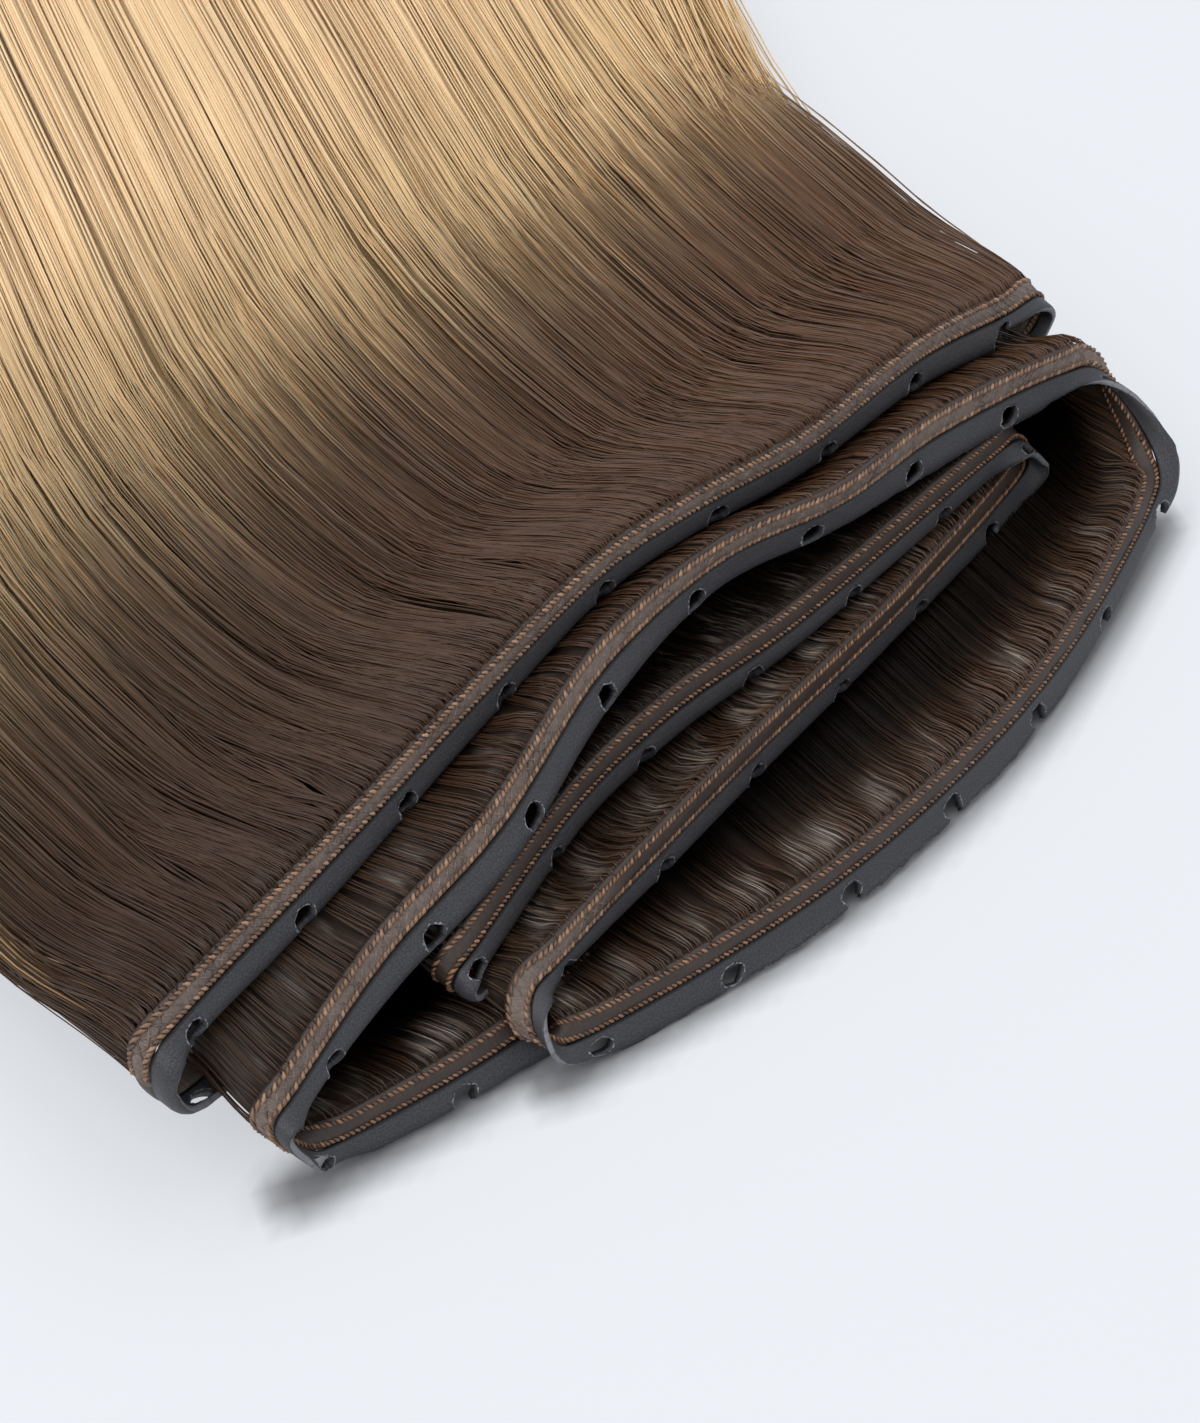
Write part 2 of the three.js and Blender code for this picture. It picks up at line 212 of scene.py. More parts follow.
def smoothed(values, distance):
    """Values on the even track, averaged over a distance with a bell-shaped weight."""
    reach = int(BELL_REACH * distance / STEP)
    bell = np.exp(-0.5 * (np.arange(-reach, reach + 1) * STEP / distance) ** 2)
    bell /= bell.sum()
    padded = np.pad(values, [(reach, reach)] + [(0, 0)] * (values.ndim - 1), mode="edge")
    if values.ndim == 1:
        return np.convolve(padded, bell, mode="valid")
    return np.column_stack([np.convolve(column, bell, mode="valid") for column in padded.T])


fine_points, fine_numbers = curve_through(np.array([knot[0] for knot in knots]))
travelled = np.concatenate([[0], np.cumsum(np.linalg.norm(np.diff(fine_points, axis=0), axis=1))])
WEFT_LENGTH = travelled[-1]
track_length = np.arange(0, WEFT_LENGTH, STEP)
track_at = np.column_stack([np.interp(track_length, travelled, column) for column in fine_points.T])
track_at = smoothed(track_at, 0.5 * SMOOTHING)
fine_leans = np.interp(fine_numbers, np.arange(len(knots)), [knot[1] for knot in knots])
track_lean = np.radians(np.interp(track_length, travelled, fine_leans))
track_lean = smoothed(track_lean, SMOOTHING)
track_along = unit(np.gradient(track_at, axis=0))
track_hair = np.column_stack(
    [
        np.cos(track_lean) * math.cos(HAIR_HEADING),
        np.cos(track_lean) * math.sin(HAIR_HEADING),
        np.sin(track_lean),
    ]
)
track_hair -= track_along * np.sum(track_hair * track_along, axis=1, keepdims=True)
track_hair = smoothed(unit(track_hair), SMOOTHING)
track_hair -= track_along * np.sum(track_hair * track_along, axis=1, keepdims=True)
track_hair = unit(track_hair)
track_face = np.cross(track_along, track_hair)
run_ends = {
    run: tuple(np.interp(ends, fine_numbers, travelled)) for run, ends in run_span.items()
}


def at_length(values, length):
    """A value of the track at distances along the weft."""
    spot = np.clip(np.asarray(length) / STEP, 0, len(track_length) - 1.001)
    low = spot.astype(int)
    share = (spot - low)[..., None] if values.ndim > 1 else spot - low
    return values[low] * (1 - share) + values[low + 1] * share


def on_weft(length, across, lift):
    """Points of the bent weft: along it, across it towards the hair, and out of its face."""
    across, lift = np.asarray(across)[..., None], np.asarray(lift)[..., None]
    return (
        at_length(track_at, length)
        + across * at_length(track_hair, length)
        + lift * at_length(track_face, length)
    )


def smoothstep(values, low, high):
    """0 below low, 1 above high, and smooth in between."""
    share = np.clip((values - low) / (high - low), 0, 1)
    return share * share * (3 - 2 * share)


def wander(values, spacing, seed):
    """A smooth random value from -1 to 1 that changes over about one spacing."""
    table = np.random.default_rng(seed).uniform(-1, 1, WANDER_VALUES)
    spot = np.asarray(values) / spacing
    low = np.floor(spot).astype(int)
    share = smoothstep(spot - low, 0, 1)
    return table[low % WANDER_VALUES] * (1 - share) + table[(low + 1) % WANDER_VALUES] * share


HOLE_COUNT = int((WEFT_LENGTH - FIRST_HOLE) / HOLE_PITCH) + 1
print(f"weft {WEFT_LENGTH:.3f} m long, {HOLE_COUNT} holes")

# %% [markdown]
# ## Writing shader maths as sums
# A material is a graph of nodes, and graphs of sums are hard to read. A small class wraps a socket, and its
# operators add the Math nodes, so that a pattern reads as a formula.

# %% Sockets that can be added and multiplied


class Wire:
    """A node's output. An operator on it adds the Math node that works it out."""

    def __init__(self, finish, socket):
        self.finish = finish
        self.socket = socket

    def _math(self, operation, first, second):
        return self.finish.node("ShaderNodeMath", {"operation": operation}, {0: first, 1: second})

    def __add__(self, other):
        return self._math("ADD", self, other)

    def __radd__(self, other):
        return self._math("ADD", other, self)

    def __sub__(self, other):
        return self._math("SUBTRACT", self, other)

    def __rsub__(self, other):
        return self._math("SUBTRACT", other, self)

    def __mul__(self, other):
        return self._math("MULTIPLY", self, other)

    def __truediv__(self, other):
        return self._math("DIVIDE", self, other)

    def __pow__(self, other):
        return self._math("POWER", self, other)


class Finish:
    """A material that is built node by node."""

    def __init__(self, name):
        self.material = bpy.data.materials.new(name)
        self.material.use_nodes = True
        self.tree = self.material.node_tree
        self.tree.nodes.clear()

    def node(self, kind, settings=None, inputs=None, output=0):
        """Any node: its settings are set first, then the values or links of its sockets."""
        made = self.tree.nodes.new(kind)
        for key, value in (settings or {}).items():
            if key == "stops":
                while len(made.color_ramp.elements) < len(value):
                    made.color_ramp.elements.new(0.5)
                for element, (position, colour) in zip(made.color_ramp.elements, value):
                    element.position = position
                    element.color = (*colour, 1)
            else:
                setattr(made, key, value)
        for key, value in (inputs or {}).items():
            if isinstance(value, Wire):
                self.tree.links.new(value.socket, made.inputs[key])
            else:
                made.inputs[key].default_value = value
        return Wire(self, made.outputs[output]) if len(made.outputs) else None

    def mixed(self, how, first, second, share):
        """Two colours mixed in one of Blender's ways. A plain colour is three values."""
        first, second = (value if isinstance(value, Wire) else (*value, 1) for value in (first, second))
        settings = {"data_type": "RGBA", "blend_type": how}
        return self.node("ShaderNodeMix", settings, {0: share, 6: first, 7: second}, 2)

    def blended(self, first, second, share):
        """A colour that passes from the first to the second."""
        return self.mixed("MIX", first, second, share)

    def multiplied(self, first, second, share):
        """The first colour, multiplied by the second as far as the share says."""
        return self.mixed("MULTIPLY", first, second, share)

    def ramp(self, value, stops):
        """A colour looked up by a value, from pairs of a position and three values."""
        return self.node("ShaderNodeValToRGB", {"stops": stops}, {"Fac": value})

    def between(self, value, low, high):
        """0 below low, 1 above high, and smooth in between."""
        settings = {"interpolation_type": "SMOOTHSTEP"}
        return self.node("ShaderNodeMapRange", settings, {0: value, 1: low, 2: high})

    def parts(self, vector):
        made = self.node("ShaderNodeSeparateXYZ", {}, {0: vector})
        return [Wire(self, output) for output in made.socket.node.outputs]

    def pattern(self):
        """The two values of the piece's own UV map."""
        return self.parts(self.node("ShaderNodeUVMap", {"uv_map": "pattern"}))[:2]

    def object_place(self):
        """A point's place on the piece, in metres."""
        return self.node("ShaderNodeTexCoord", output="Object")

    def point(self, x, y, z):
        return self.node("ShaderNodeCombineXYZ", {}, {0: x, 1: y, 2: z})

    def noise(self, vector, scale, detail=2.0, roughness=0.5):
        inputs = {"Vector": vector, "Scale": scale, "Detail": detail, "Roughness": roughness}
        return self.node("ShaderNodeTexNoise", {}, inputs)

    def bump(self, height, strength, distance):
        inputs = {"Height": height, "Strength": strength, "Distance": distance}
        return self.node("ShaderNodeBump", {}, inputs)

    def surface(self, **sockets):
        """The shader itself, whose sockets are named in words joined by underscores."""
        inputs = {name.replace("_", " "): value for name, value in sockets.items()}
        shader = self.node("ShaderNodeBsdfPrincipled", {}, inputs)
        self.node("ShaderNodeOutputMaterial", {}, {"Surface": shader})


def paint(red, green, blue):
    """A colour as seen on a screen, from 0 to 255, in the renderer's own linear values."""
    seen = np.array([red, green, blue]) / 255
    linear = np.where(seen <= 0.04045, seen / 12.92, ((seen + 0.055) / 1.055) ** 2.4)
    return tuple(float(value) for value in linear)


def add_piece(name, mesh, finish, node):
    """Puts a mesh into the scene as a piece that stands for a solid."""
    mesh.materials.append(finish.material)
    mesh.shade_smooth()
    piece = bpy.data.objects.new(name, mesh)
    bpy.context.scene.collection.objects.link(piece)
    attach(piece, "root")
    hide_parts(node)
    triangles = sum(len(face.vertices) - 2 for face in mesh.polygons)
    print(name, triangles, "triangles")


def mesh_of(bm, name):
    """The mesh of a finished bmesh, which is freed."""
    mesh = bpy.data.meshes.new(name)
    bm.to_mesh(mesh)
    bm.free()
    return mesh


def add_cut_piece(name, bm, finish, node):
    """Puts a piece that was cut and bent in a bmesh into the scene, with its faces turned outwards."""
    bmesh.ops.recalc_face_normals(bm, faces=bm.faces)
    add_piece(name, mesh_of(bm, name), finish, node)


def move_corners(bm, spots):
    for vert, spot in zip(bm.verts, spots):
        vert.co = spot


# %% [markdown]
# ## The strip's finish
# The strip is soft charcoal plastic with a fine speckled grain. Its holes were punched, which leaves a pale
# ragged burr round each, and its cut edge is a little frayed and pale too. The flat pattern is kept as a UV
# map, along and across, so the burr can be found from the distance to the nearest hole.

# %% Strip finish
RIM = HOLE_RADIUS / MM
BURR_START = RIM + 0.01
BURR_FULL = RIM + 0.05
BURR_END = RIM + 0.18
DARK_CHARCOAL = paint(33, 33, 35)
PALE_CHARCOAL = paint(54, 53, 56)
SPECK_GREY = paint(104, 104, 109)
# Colour of the painted shade along the seam.
PAINTED_SEAM_SHADE = paint(14, 13, 15)
TORN_GREY = paint(165, 165, 170)

strip_finish = Finish("charcoal_strip")
along, across = strip_finish.pattern()
cell = strip_finish.node("ShaderNodeMath", {"operation": "FRACT"}, {0: along + 0.5})
from_hole_along = (cell - 0.5) * (HOLE_PITCH / MM)
from_hole_across = (across - HOLE_DEPTH / STRIP_WIDTH) * (STRIP_WIDTH / MM)
from_hole = ((from_hole_along / HOLE_STRETCH) ** 2 + from_hole_across**2) ** 0.5
grain_place = strip_finish.point(along * (HOLE_PITCH / MM), across * (STRIP_WIDTH / MM), 0.0)
ragged = strip_finish.noise(grain_place, scale=3.5, detail=3.0)
ring_in = strip_finish.between(from_hole, BURR_START, BURR_FULL)
ring_out = strip_finish.between(from_hole + (ragged - 0.5) * 0.5, BURR_FULL, BURR_END)
torn_patches = strip_finish.between(strip_finish.noise(grain_place, scale=2.2), 0.38, 0.55)
burr = ring_in * (1 - ring_out) * torn_patches
frayed = strip_finish.between(across + (ragged - 0.5) * 0.10, 0.965, 1.0)
pale_parts = {0: burr * 0.8, 1: frayed * 0.35}
pale = strip_finish.node("ShaderNodeMath", {"operation": "MAXIMUM"}, pale_parts)
# Painted shade: a thin dark line along the seam, where the strip runs in under the band's edge.
painted_seam_shade_mask = strip_finish.between(across + (ragged - 0.5) * 0.05, 0.03, 0.15)
cloudy = strip_finish.noise(grain_place, scale=0.8, detail=4.0, roughness=0.6)
speck = strip_finish.noise(grain_place, scale=5.0, detail=3.0, roughness=0.7)
charcoal = strip_finish.blended(DARK_CHARCOAL, PALE_CHARCOAL, cloudy)
charcoal = strip_finish.blended(charcoal, SPECK_GREY, (speck - 0.42) * 1.4)
charcoal = strip_finish.blended(PAINTED_SEAM_SHADE, charcoal, painted_seam_shade_mask)
strip_finish.surface(
    Base_Color=strip_finish.blended(charcoal, TORN_GREY, pale),
    Roughness=0.4 + cloudy * 0.2,
    Normal=strip_finish.bump(speck + burr * ragged * 2.0, strength=0.6, distance=0.08 * MM),
    Specular_IOR_Level=0.3,
)
print("strip finish:", len(strip_finish.tree.nodes), "nodes")

# %% [markdown]
# ## The strip with its holes
# On the real weft the strip is cut and punched flat, and then it bends with the weft. It is made the same
# way here. One length with one hole is modelled flat, with rings of faces round the hole, and repeated
# along the weft. A few holes have torn through to the strip's edge, so the faces between hole and edge are
# taken out.

# %% Strip, cut flat
PATCH_HALF = 1.8 * MM
TORN_HOLES = {2, 23, 24, 35, 36, 37, 38, 39}
TEAR_HALF = 1.0 * MM
HOLE_POINTS = 24
RINGS_ROUND_HOLE = 2
STRETCH_COLUMNS = 22
END_COLUMNS = 4
STRIP_ROWS = HOLE_POINTS // 4


def flat_grid(bm, low, high, columns, rows):
    """A flat grid between two corners, along and across."""
    size = Matrix.Diagonal(((high[0] - low[0]) / 2, (high[1] - low[1]) / 2, 1, 1))
    middle = Matrix.Translation(((low[0] + high[0]) / 2, (low[1] + high[1]) / 2, 0))
    made = bmesh.ops.create_grid(bm, x_segments=columns, y_segments=rows, size=1, matrix=middle @ size)
    return made["verts"]


def all_parts(bm):
    return bm.verts[:] + bm.edges[:] + bm.faces[:]


strip_cut = bmesh.new()
patch = flat_grid(strip_cut, (-PATCH_HALF, 0), (PATCH_HALF, STRIP_WIDTH), STRIP_ROWS, STRIP_ROWS)
inside = [v for v in patch if not v.is_boundary]
bmesh.ops.delete(strip_cut, geom=inside, context="VERTS")
outline = list(strip_cut.edges)
hole_place = Matrix.Translation((0, HOLE_DEPTH, 0)) @ Matrix.Diagonal((HOLE_STRETCH, 1, 1, 1))
hole_place = hole_place @ Matrix.Rotation(math.pi / 4, 4, "Z")
hole = bmesh.ops.create_circle(strip_cut, segments=HOLE_POINTS, radius=HOLE_RADIUS, matrix=hole_place)
hole_verts = set(hole["verts"])
hole_edges = [e for e in strip_cut.edges if all(v in hole_verts for v in e.verts)]
spokes = bmesh.ops.bridge_loops(strip_cut, edges=outline + hole_edges)["edges"]
bmesh.ops.subdivide_edges(strip_cut, edges=spokes, cuts=RINGS_ROUND_HOLE)
stretch_end = (HOLE_PITCH - PATCH_HALF, STRIP_WIDTH)
flat_grid(strip_cut, (PATCH_HALF, 0), stretch_end, STRETCH_COLUMNS, STRIP_ROWS)
bmesh.ops.translate(strip_cut, verts=strip_cut.verts, vec=(FIRST_HOLE, 0, 0))
one_length = all_parts(strip_cut)
for number in range(1, HOLE_COUNT):
    copy = bmesh.ops.duplicate(strip_cut, geom=one_length)
    moved = [item for item in copy["geom"] if isinstance(item, bmesh.types.BMVert)]
    bmesh.ops.translate(strip_cut, verts=moved, vec=(number * HOLE_PITCH, 0, 0))
flat_grid(strip_cut, (0, 0), (FIRST_HOLE - PATCH_HALF, STRIP_WIDTH), END_COLUMNS, STRIP_ROWS)
last_cut = {"plane_co": (WEFT_LENGTH - STEP, 0, 0), "plane_no": (1, 0, 0)}
bmesh.ops.bisect_plane(strip_cut, geom=all_parts(strip_cut), clear_outer=True, **last_cut)
bmesh.ops.remove_doubles(strip_cut, verts=strip_cut.verts, dist=0.01 * MM)
torn_faces = []
for face in strip_cut.faces:
    spot = face.calc_center_median()
    number = round((spot.x - FIRST_HOLE) / HOLE_PITCH)
    beside = abs(spot.x - FIRST_HOLE - number * HOLE_PITCH)
    if number in TORN_HOLES and beside < TEAR_HALF and spot.y > HOLE_DEPTH + 0.5 * HOLE_RADIUS:
        torn_faces.append(face)
bmesh.ops.delete(strip_cut, geom=torn_faces, context="FACES")
bmesh.ops.recalc_face_normals(strip_cut, faces=strip_cut.faces)
print("flat strip:", len(strip_cut.faces), "faces,", HOLE_COUNT, "holes")

# %% [markdown]
# ## Bending the strip
# The strip gets its thickness, its ragged hole rims and its frayed lip while it is flat, where a place is
# two plain numbers. Then a table bends it: how far from the seam the lip starts to roll, how far it turns,
# and how much of its width is left, because soft plastic pinches together in a tight fold. Between two rows
# of the table the strip passes evenly from one to the other.

# %% Strip, given its thickness and bent
Roll = namedtuple("Roll", "run share past start turn width")
ROLLS = [
    Roll("topTail", 0.5, 0, 1.8, 20, 0.4),
    Roll("top", 0.0, -4, 1.6, 40, 0.4),
    Roll("top", 0.0, 0.7, 1.6, 30, 0.4),
    Roll("top", 0.0, 2.0, 2.0, -80, 1.0),
    Roll("top", 0.9, 0, 2.0, -80, 1.0),
    Roll("top", 1.0, 0, 1.5, -110, 0.9),
    Roll("top", 1.0, 6, 1.0, -150, 0.6),
    Roll("underTail", 0.0, 2, 1.2, -90, 0.7),
    Roll("underTail", 0.2, 0, 2.0, 0, 1.0),
    Roll("floor", 0.0, 0, 2.0, -40, 1.0),
    Roll("floor", 1.0, -4, 2.0, -75, 1.0),
    Roll("floor", 1.0, 1, 0.8, -150, 0.6),
    Roll("floor", 1.0, 4, 1.2, -10, 0.3),
    Roll("middle", 0.0, -3.5, 1.1, 90, 0.4),
    Roll("middle", 0.0, 1, 1.2, 110, 0.85),
    Roll("middle", 0.0, 5, 1.2, 100, 1.0),
    Roll("middle", 0.2, 0, 2.0, 50, 1.0),
    Roll("middle", 0.8, 0, 2.0, 28, 1.0),
    Roll("middle", 1.0, -4, 1.8, 24, 0.95),
    Roll("middle", 1.0, 2, 1.6, 0, 0.55),
    Roll("middle", 1.0, 6, 1.3, -60, 0.45),
    Roll("front", 0.0, -8, 1.2, -95, 0.6),
    Roll("front", 0.0, 0, 1.2, -100, 0.75),
    Roll("front", 0.15, 0, 1.6, -40, 0.97),
    Roll("front", 0.4, 0, 1.6, 30, 1.0),
    Roll("front", 0.75, 0, 1.6, 35, 1.0),
    Roll("front", 1.0, -5, 2.0, -30, 1.0),
    Roll("front", 1.0, 1, 1.2, -40, 0.55),
    Roll("front", 1.0, 4.5, 1.2, 40, 0.3),
    Roll("inner", 0.0, -5, 0.9, 130, 0.4),
    Roll("inner", 0.0, 0, 0.9, 160, 0.75),
    Roll("inner", 0.0, 6, 1.2, 130, 1.0),
    Roll("inner", 0.2, 0, 1.6, 95, 1.0),
    Roll("inner", 0.8, 0, 1.6, 95, 1.0),
    Roll("inner", 1.0, 0, 1.8, 60, 0.7),
    Roll("inner", 1.0, 5, 1.8, 20, 0.5),
    Roll("upperInner", 0.0, 2, 1.1, -60, 0.7),
    Roll("upperInner", 0.1, 0, 1.4, -95, 1.0),
    Roll("upperInner", 0.93, 0, 1.4, -105, 1.0),
    Roll("upperInner", 1.0, 0, 1.1, -100, 0.6),
    Roll("lowerTail", 0.5, 0, 1.2, -60, 0.6),
]
SMALLEST_TURN = 0.02
RIM_BAND = 0.25
LIP_START = 0.8
LIP_THINNER = 0.35
roll_at = []
for roll in ROLLS:
    start, end = run_ends[roll.run]
    roll_at.append(start + roll.share * (end - start) + roll.past * MM)


def rolled(length, across, lift):
    """The strip's section: flat near the seam, with its outer lip rolled over."""
    start = np.interp(length, roll_at, [roll.start * MM for roll in ROLLS])
    turn = np.interp(length, roll_at, [math.radians(roll.turn) for roll in ROLLS])
    across = across * np.interp(length, roll_at, [roll.width for roll in ROLLS])
    side = np.where(turn < 0, -1, 1)
    turn = np.maximum(np.abs(turn), SMALLEST_TURN)
    radius = (STRIP_WIDTH - start) / turn
    angle = np.clip(across - start, 0, None) / radius
    down = np.minimum(across, start) + radius * np.sin(angle) + side * lift * np.sin(angle)
    back = -side * radius * (1 - np.cos(angle)) + lift * np.cos(angle)
    return on_weft(length, -down, back)


bmesh.ops.solidify(strip_cut, geom=strip_cut.faces[:], thickness=STRIP_THICKNESS)
pattern_map = strip_cut.loops.layers.uv.new("pattern")
for face in strip_cut.faces:
    for loop in face.loops:
        spot = loop.vert.co
        loop[pattern_map].uv = ((spot.x - FIRST_HOLE) / HOLE_PITCH, spot.y / STRIP_WIDTH)


def flat_places(bm):
    """Each corner of a flat piece: its place along and across, and its height from the middle."""
    flat = np.array([v.co for v in bm.verts])
    lift = flat[:, 2] - (flat[:, 2].min() + flat[:, 2].max()) / 2
    return flat[:, 0], flat[:, 1], lift


along, across, lift = flat_places(strip_cut)
from_hole_x = (along - FIRST_HOLE + HOLE_PITCH / 2) % HOLE_PITCH - HOLE_PITCH / 2
from_hole_y = across - HOLE_DEPTH
distance = np.hypot(from_hole_x / HOLE_STRETCH, from_hole_y)
hole_number = np.round((along - FIRST_HOLE) / HOLE_PITCH)
angle = np.arctan2(from_hole_y, from_hole_x) + 9.0 * hole_number
rim = np.clip(1 + RIM_BAND - distance / HOLE_RADIUS, 0, RIM_BAND) / RIM_BAND
ragged_hole = 1 + rim * (0.12 * wander(angle, 0.45, 3) + 0.02)
along += from_hole_x * (ragged_hole - 1)
across += from_hole_y * (ragged_hole - 1)
lift += np.sign(lift) * rim * (0.03 + 0.08 * wander(angle, 0.5, 4)) * MM
lip = np.clip(across / STRIP_WIDTH - LIP_START, 0, 1 - LIP_START) / (1 - LIP_START)
across += lip * (0.12 * wander(along, 0.6 * MM, 5) + 0.14 * wander(along, 5 * MM, 6)) * MM
move_corners(strip_cut, rolled(along, across, lift * (1 - LIP_THINNER * lip)))
add_cut_piece("hole_strip_skin", strip_cut, strip_finish, "hole_strip")

# %% [markdown]
# ## The band that the stitches hold
# Between strip and hair, the roots are folded over and sewn into a flat band. What shows between the
# threads is dark hair that crosses the band, so the finish is a row of fine dark lines across it. One side
# of the band is covered by a pale mesh of thread. The UV map tells that side by a step in its second value.
# A little past the fold into the inner run, deep in the pile, the mesh fades out to the dark side's colours:
# this is painted shade.

# %% Band finish and band
BAND_COLUMN = 0.8 * MM
BAND_ROWS = 5
BAND_CROWN = 0.45
TOP_MARGIN = 6 * MM
MESH_STEP = 10
MESH_PAST = 8 * MM
MESH_FADE = 6
DARK_ROOTS = [(0.25, paint(24, 17, 13)), (0.55, paint(48, 35, 28)), (0.8, paint(84, 64, 50))]
MESH_ROOTS = [(0.25, paint(58, 47, 42)), (0.55, paint(102, 87, 79)), (0.8, paint(134, 117, 107))]
top_start, top_end = run_ends["top"]
# From here on the mesh side is drawn like the dark side, as painted shade deep in the pile.
mesh_shaded_from = run_ends["inner"][0] + MESH_PAST

band_finish = Finish("sewn_roots")
along, across = band_finish.pattern()
root_lines = band_finish.noise(band_finish.point(along * 9.0, across * 0.8, 0.0), scale=1.0, detail=3.0)
patches = band_finish.noise(band_finish.point(along * 0.25, across, 4.0), scale=1.0)
tone = root_lines * 0.75 + patches * 0.25
from_seam = band_finish.node("ShaderNodeMath", {"operation": "MODULO"}, {0: across, 1: MESH_STEP})
on_mesh = band_finish.between(across, 0.5 * MESH_STEP, 0.6 * MESH_STEP)
on_mesh = on_mesh * (1 - band_finish.between(from_seam, 1.9, 2.1))
# Painted shade: the pale mesh fades out past the fold into the inner run.
on_mesh = on_mesh * (1 - band_finish.between(along, mesh_shaded_from / MM - MESH_FADE, mesh_shaded_from / MM + MESH_FADE))
band_finish.surface(
    Base_Color=band_finish.blended(
        band_finish.ramp(tone, DARK_ROOTS), band_finish.ramp(tone, MESH_ROOTS), on_mesh
    ),
    Roughness=0.55,
    Normal=band_finish.bump(root_lines, strength=0.6, distance=0.1 * MM),
)


def lies_turned(length):
    """True on the top run, which lies the other way up."""
    return (length > top_start - TOP_MARGIN) & (length < top_end + TOP_MARGIN)


def crowned(across):
    """The band is rounded: 1 along its middle, and less towards its two edges."""
    edge = np.abs(2 * (across - BAND_START) / (BAND_END - BAND_START) - 1)
    return 1 - BAND_CROWN * np.minimum(edge, 1) ** 3


band_cut = bmesh.new()
band_columns = int(WEFT_LENGTH / BAND_COLUMN)
flat_grid(band_cut, (0, BAND_START), (WEFT_LENGTH - STEP, BAND_END), band_columns, BAND_ROWS)
bmesh.ops.solidify(band_cut, geom=band_cut.faces[:], thickness=BAND_THICKNESS)
pattern_map = band_cut.loops.layers.uv.new("pattern")
band_middle = sum(v.co.z for v in band_cut.verts) / len(band_cut.verts)
for face in band_cut.faces:
    middle = face.calc_center_median()
    turned = -1 if lies_turned(middle.x) else 1
    side_step = MESH_STEP if (middle.z - band_middle) * turned > 0 else 0
    for loop in face.loops:
        spot = loop.vert.co
        loop[pattern_map].uv = (spot.x / MM, spot.y / MM + side_step)
along, across, lift = flat_places(band_cut)
rise = lift * crowned(across) * (1 + 0.12 * wander(along, 2.5 * MM, 11))
move_corners(band_cut, on_weft(along, across, rise))
add_cut_piece("stitch_band_roots", band_cut, band_finish, "stitch_band")

# %% [markdown]
# ## Many small things as one mesh
# Thousands of stitches and strands would be slow as objects. Each kind is worked out as arrays of points
# and faces, and becomes one joined mesh. A strand and a stitch are both a closed tube along a line of
# points.

# %% Tubes from arrays
TUBE_SIDES = 3


def tube_mesh(name, lines, radii, side_hint, uvs, sides=TUBE_SIDES):
    """One mesh of closed tubes. lines is tubes by points by 3, and radii and uvs go with them."""
    tubes, points, _ = lines.shape
    forward = unit(np.gradient(lines, axis=1))
    side = side_hint - forward * np.sum(side_hint * forward, axis=2, keepdims=True)
    side = unit(side)
    up = np.cross(side, forward)
    phase = np.random.default_rng(21).uniform(0, 2 * math.pi, tubes)
    angles = phase[:, None] + np.arange(sides) * 2 * math.pi / sides
    across = np.cos(angles)[:, None, :, None] * side[:, :, None, :]
    above = np.sin(angles)[:, None, :, None] * up[:, :, None, :]
    rings = lines[:, :, None, :] + radii[:, :, None, None] * (across + above)
    first = (np.arange(tubes) * points * sides)[:, None, None]
    ring = (np.arange(points - 1) * sides)[None, :, None]
    here = np.arange(sides)[None, None, :]
    after = (here + 1) % sides
    low, high = first + ring, first + ring + sides
    quads = np.stack([low + here, low + after, high + after, high + here], axis=-1).reshape(-1, 4)
    caps_start = (first[:, 0] + np.arange(sides)[::-1]).reshape(-1, sides)
    caps_end = (first[:, 0] + (points - 1) * sides + np.arange(sides)).reshape(-1, sides)
    corners = np.concatenate([quads.ravel(), caps_start.ravel(), caps_end.ravel()])
    sizes = np.concatenate([np.full(len(quads), 4), np.full(2 * tubes, sides)])
    starts = np.concatenate([[0], np.cumsum(sizes)[:-1]])
    mesh = bpy.data.meshes.new(name)
    mesh.vertices.add(tubes * points * sides)
    mesh.vertices.foreach_set("co", rings.reshape(-1).astype(np.float32))
    mesh.loops.add(len(corners))
    mesh.loops.foreach_set("vertex_index", corners.astype(np.int32))
    mesh.polygons.add(len(sizes))
    mesh.polygons.foreach_set("loop_start", starts.astype(np.int32))
    mesh.update(calc_edges=True)
    layer = mesh.uv_layers.new(name="pattern")
    corner_uvs = np.repeat(uvs.reshape(-1, 2), sides, axis=0)[corners]
    layer.data.foreach_set("uv", corner_uvs.reshape(-1).astype(np.float32))
    return mesh


# %% [markdown]
# ## The stitches
# Two rows of stitches run along the band, each like a row of small beads. On one side of the weft thin
# threads cross between the rows and make a fine mesh. On the other side the rows stand apart with dark
# roots between them. On the inner runs, deep in the pile, the mesh side is drawn as plain as the other side:
# this is painted shade. A stitch is a short bead of thread, a little slanted, and every second one is paler,
# so each row reads as a fine rope.

# %% Stitch finish and stitches
STITCH_SHAPE = np.array([(-0.5, 0.5), (0.0, 1.0), (0.5, 0.5)])
STITCH_SIDES = 4
STITCH_PROUD = 0.04
StitchRow = namedtuple("StitchRow", "pitch across slant length radius sunk")
BEAD_ROWS = [
    StitchRow(0.55, 0.4, 0.7, 0.66, 0.24, 0.07),
    StitchRow(0.55, 2.04, 0.7, 0.66, 0.24, 0.07),
]
MESH_ROWS = [
    StitchRow(1.1, 1.22, 0.95, 1.05, 0.15, 0.11),
    StitchRow(1.1, 1.22, -0.95, 1.05, 0.15, 0.13),
]
PLAIN_ROWS = [
    StitchRow(0.55, 0.42, 0.7, 0.62, 0.2, 0.03),
    StitchRow(0.55, 2.1, 0.7, 0.56, 0.19, 0.04),
]
SEEN_TOP = (0, top_end + TOP_MARGIN)
SEEN_MESH = (run_ends["underTail"][1] - 2 * MM, mesh_shaded_from)
SEEN_REST = (mesh_shaded_from, WEFT_LENGTH)


